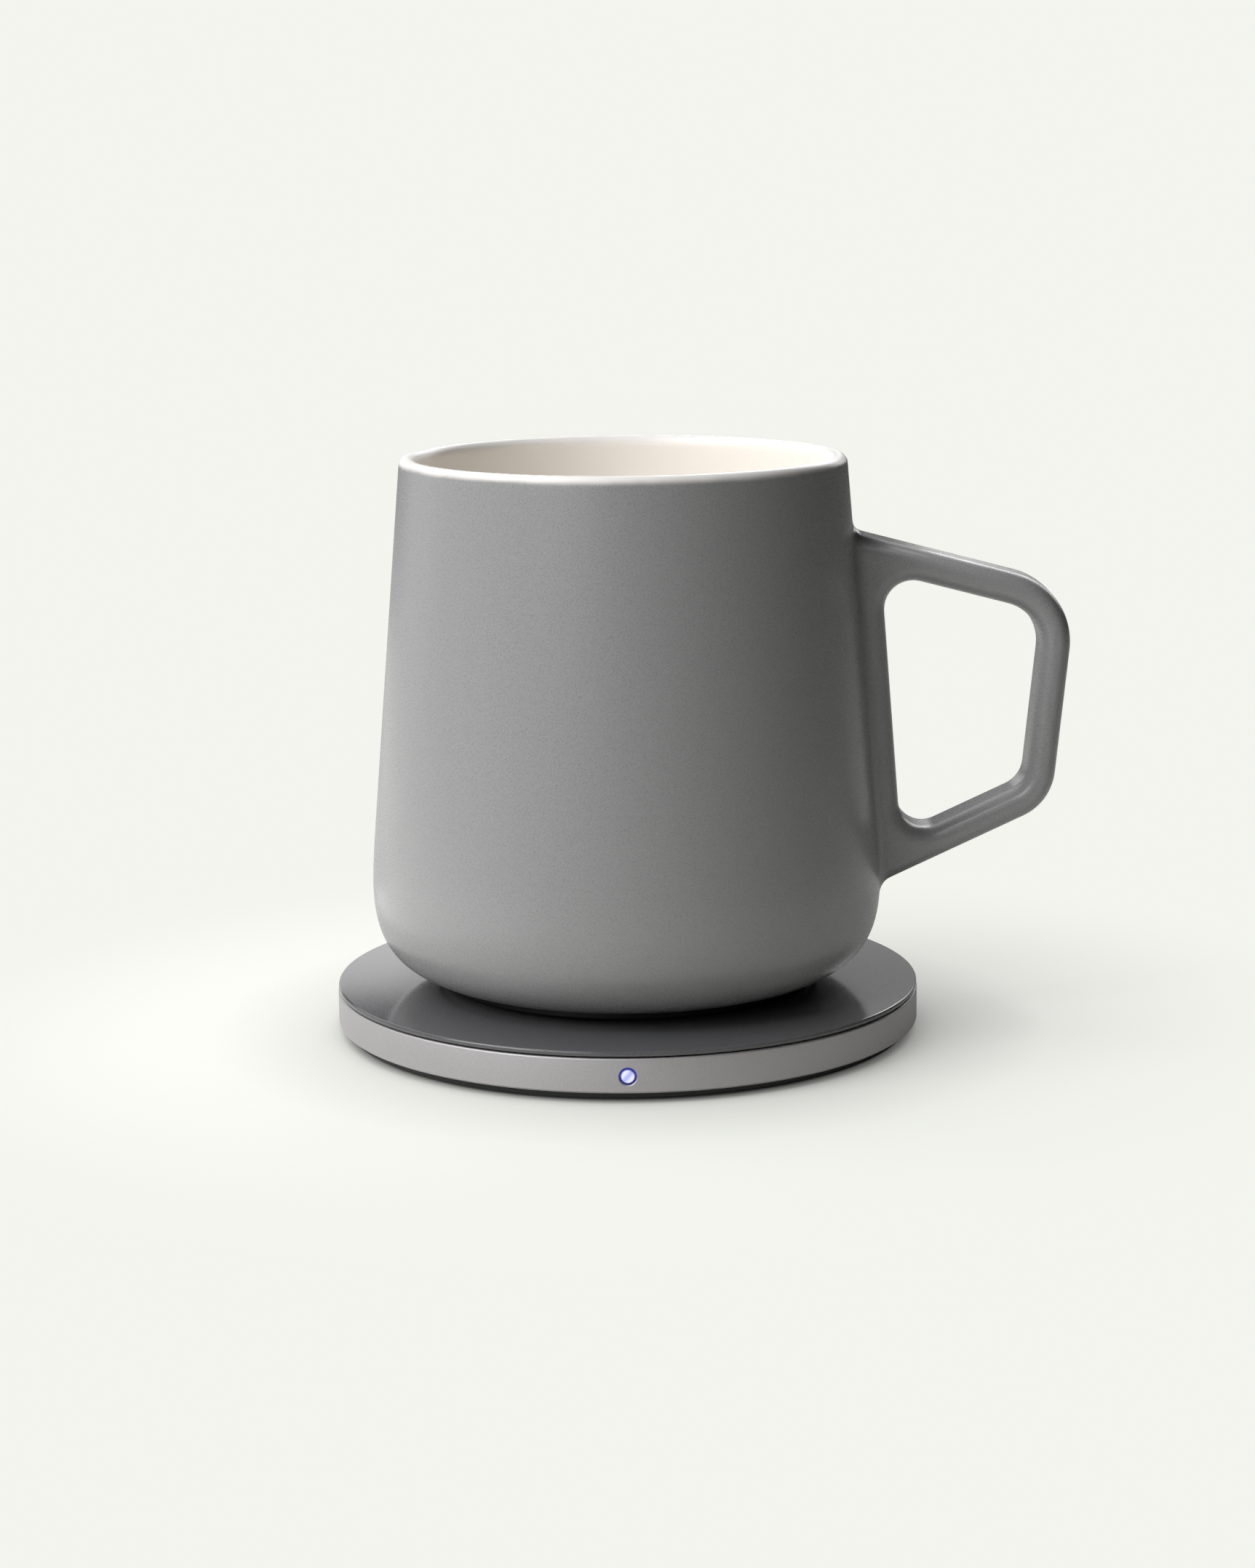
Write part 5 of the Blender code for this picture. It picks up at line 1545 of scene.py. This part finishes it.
@dataclass(frozen=True)
class Lamp:
    """A soft rectangular lamp that faces the object."""

    name: str
    place: Triple
    size: Pair
    power: float
    target: Triple = (0.0, 0.0, 0.05)

    def hang(self) -> None:
        """Add the lamp, turned to its target and hidden from the camera."""
        lamp = bpy.data.lights.new(self.name, "AREA")
        lamp.shape, lamp.size, lamp.size_y, lamp.energy = "RECTANGLE", self.size[0], self.size[1], self.power
        obj = bpy.data.objects.new(self.name, lamp)
        obj.location = self.place
        obj.rotation_euler = (Vector(self.target) - Vector(self.place)).to_track_quat("-Z", "Y").to_euler()
        obj.visible_camera = False
        bpy.context.scene.collection.objects.link(obj)


@dataclass
class Studio:
    """Pale floor and surround, soft lamps and the camera of the photograph.

    Near the object the floor takes the lamps' shade, and painted contact shade where the object almost touches it:
    there an occlusion measure dims its glow. Between two distances it passes into the even surround. What it
    throws back falls from a near share to a far one in the same way.
    """

    pale: str = "#f3f4ee"
    floor_radius: float = 1.6
    floor_steps: int = 96
    shade_fade: Pair = (0.060, 0.135)
    bounce_fade: Pair = (0.16, 0.42)
    floor_shade: float = 0.42
    floor_glow: float = 0.63
    # Reach of the painted contact shade in the floor's glow
    painted_contact_shade_reach: float = 0.035
    floor_bounce: Pair = (0.85, 0.45)
    fill: float = 0.005
    focal_length: float = 94.41
    sensor_width: float = 36.0
    camera_place: Triple = (0.0011, -0.5540, 0.1510)
    pitch: float = math.radians(11.12)
    yaw: float = math.radians(0.085)
    roll: float = math.radians(0.50)
    lamps: tuple[Lamp, ...] = (
        # Soft light from the upper left and the front: the slow fall of grey across the mug
        Lamp("upper_left_lamp", (-0.55, -0.32, 0.55), (0.5, 0.5), 4.7),
        Lamp("front_left_lamp", (-0.40, -0.70, 0.40), (0.5, 0.5), 1.42),
        # Light overhead for the inside of the bowl, and a small lamp for the clear streak on the handle
        Lamp("overhead_lamp", (-0.35, 0.10, 0.80), (0.5, 0.5), 2.45),
        Lamp("streak_lamp", (-0.22, -0.34, 0.70), (0.14, 0.14), 0.36),
        # Light from behind, which keeps the edges bright
        Lamp("back_left_lamp", (-0.70, 0.40, 0.18), (0.45, 0.46), 0.29),
        Lamp("back_overhead_lamp", (-0.20, 0.70, 0.60), (0.9, 0.5), 1.85),
        Lamp("back_right_lamp", (0.24, 0.90, 0.50), (0.46, 0.20), 1.37),
        Lamp("side_right_lamp", (0.48, 0.72, 0.40), (0.30, 0.50), 0.97),
        # Light that the sunny side of a white table throws up: the lower left of the mug is its brightest part
        Lamp("table_left", (-0.215, -0.04, 0.003), (0.27, 0.24), 0.15, (-0.215, -0.04, 1.0)),
        Lamp("table_back_left", (-0.30, 0.30, 0.003), (0.3, 0.4), 0.19, (-0.30, 0.30, 1.0)),
        # The two screens that the dark plate mirrors beside the mug
        Lamp("back_screen_left", (-0.26, 0.90, 0.17), (0.44, 0.20), 0.365),
        Lamp("back_screen_right", (0.24, 0.90, 0.24), (0.46, 0.30), 0.245),
    )

    def build_world(self) -> None:
        """Give the surround the pale colour where it is seen, and a weak even light elsewhere."""
        world = bpy.data.worlds.new("pale_surround")
        world.use_nodes = True
        bpy.context.scene.world = world
        tree = world.node_tree
        light = add(tree, "ShaderNodeLightPath")
        seen = add(tree, "ShaderNodeMath", {0: light.outputs["Is Camera Ray"],
                                            1: light.outputs["Is Transmission Ray"]}, operation="MAXIMUM")
        strength = add(tree, "ShaderNodeMix", {0: seen, 2: self.fill, 3: 1.0})
        feed(tree, tree.nodes["Background"], {"Color": linear(self.pale), "Strength": strength})

    def build_floor(self) -> None:
        """Lay a pale round floor that passes into the surround far from the object."""
        mesh = bpy.data.meshes.new("floor")
        shape = bmesh.new()
        bmesh.ops.create_circle(shape, cap_ends=True, segments=self.floor_steps, radius=self.floor_radius)
        shape.to_mesh(mesh)
        shape.free()
        material = bpy.data.materials.new("pale_table")
        material.use_nodes = True
        tree = material.node_tree
        tree.nodes.remove(tree.nodes["Principled BSDF"])
        pale = linear(self.pale)
        place = add(tree, "ShaderNodeTexCoord")
        away = add(tree, "ShaderNodeVectorMath", {0: place.outputs["Object"]}, operation="LENGTH")
        fade, bounce_fade = (add(tree, "ShaderNodeMapRange", {"Value": away.outputs["Value"], "From Min": first,
                                                              "From Max": last}, interpolation_type="SMOOTHSTEP")
                             for first, last in (self.shade_fade, self.bounce_fade))
        light = add(tree, "ShaderNodeLightPath")
        shaded = add(tree, "ShaderNodeBsdfDiffuse", {"Color": (*(v * self.floor_shade for v in pale[:3]), 1.0)})
        # Painted contact shade: an ambient-occlusion measure dims the floor's glow where the object almost touches it
        contact = add(tree, "ShaderNodeAmbientOcclusion", {"Distance": self.painted_contact_shade_reach}, samples=8)
        even = add(tree, "ShaderNodeMath", {0: contact.outputs["AO"], 1: self.floor_glow}, operation="MULTIPLY")
        glow = add(tree, "ShaderNodeEmission", {"Color": pale, "Strength": even})
        near = add(tree, "ShaderNodeAddShader", {0: shaded, 1: glow})
        surround = add(tree, "ShaderNodeEmission", {"Color": pale})
        shown = add(tree, "ShaderNodeMixShader", {0: fade, 1: near, 2: surround})
        near_bounce, far_bounce = (add(tree, "ShaderNodeBsdfDiffuse", {"Color": (*(v * share for v in pale[:3]), 1.0)})
                                   for share in self.floor_bounce)
        bounce = add(tree, "ShaderNodeMixShader", {0: bounce_fade, 1: near_bounce, 2: far_bounce})
        mixed = add(tree, "ShaderNodeMixShader", {0: light.outputs["Is Camera Ray"], 1: bounce, 2: shown})
        feed(tree, tree.nodes["Material Output"], {"Surface": mixed})
        mesh.materials.append(material)
        obj = bpy.data.objects.new("floor", mesh)
        bpy.context.scene.collection.objects.link(obj)

    def build_camera(self) -> None:
        """Set the camera where the photograph was taken."""
        camera = bpy.data.cameras.new("camera")
        camera.lens, camera.sensor_width, camera.sensor_fit = self.focal_length, self.sensor_width, "HORIZONTAL"
        obj = bpy.data.objects.new("camera", camera)
        turn = (Matrix.Rotation(self.yaw, 4, "Z") @ Matrix.Rotation(math.pi / 2.0 - self.pitch, 4, "X")
                @ Matrix.Rotation(-self.roll, 4, "Z"))
        obj.matrix_world = Matrix.Translation(self.camera_place) @ turn
        bpy.context.scene.collection.objects.link(obj)
        bpy.context.scene.camera = obj

    def build(self) -> None:
        """Set up the whole studio."""
        bpy.context.scene.view_settings.view_transform = "Standard"
        self.build_world()
        self.build_floor()
        for lamp in self.lamps:
            lamp.hang()
        self.build_camera()


def corners(box: tuple[Vector, Vector]) -> list[list[float]]:
    """Give a box as plain lists of numbers."""
    return [[float(v) for v in corner] for corner in box]


def main() -> None:
    """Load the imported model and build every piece."""
    logging.basicConfig(level=logging.INFO, format="%(name)s: %(message)s")
    for obj in list(bpy.data.objects):
        bpy.data.objects.remove(obj)
    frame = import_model()
    shop, palette = Workshop(), Palette()
    Studio().build()
    PorcelainMug(shop, palette).build()
    MugBase(shop, palette).build()
    housing = CoasterHousing(shop, palette)
    indicator, port = Indicator(shop, palette, housing), ChargingPort(shop, palette, housing)
    housing.build_ring([indicator.cutter(), port.cutter()])
    housing.build_plate()
    housing.build_base()
    housing.build_pad()
    indicator.build()
    port.build()
    Coils(shop, palette).build()
    ChipLeads(shop, palette).build(frame["nodes"])
    InnerParts(shop, palette).dress(frame["nodes"])


if __name__ == "__main__":
    main()
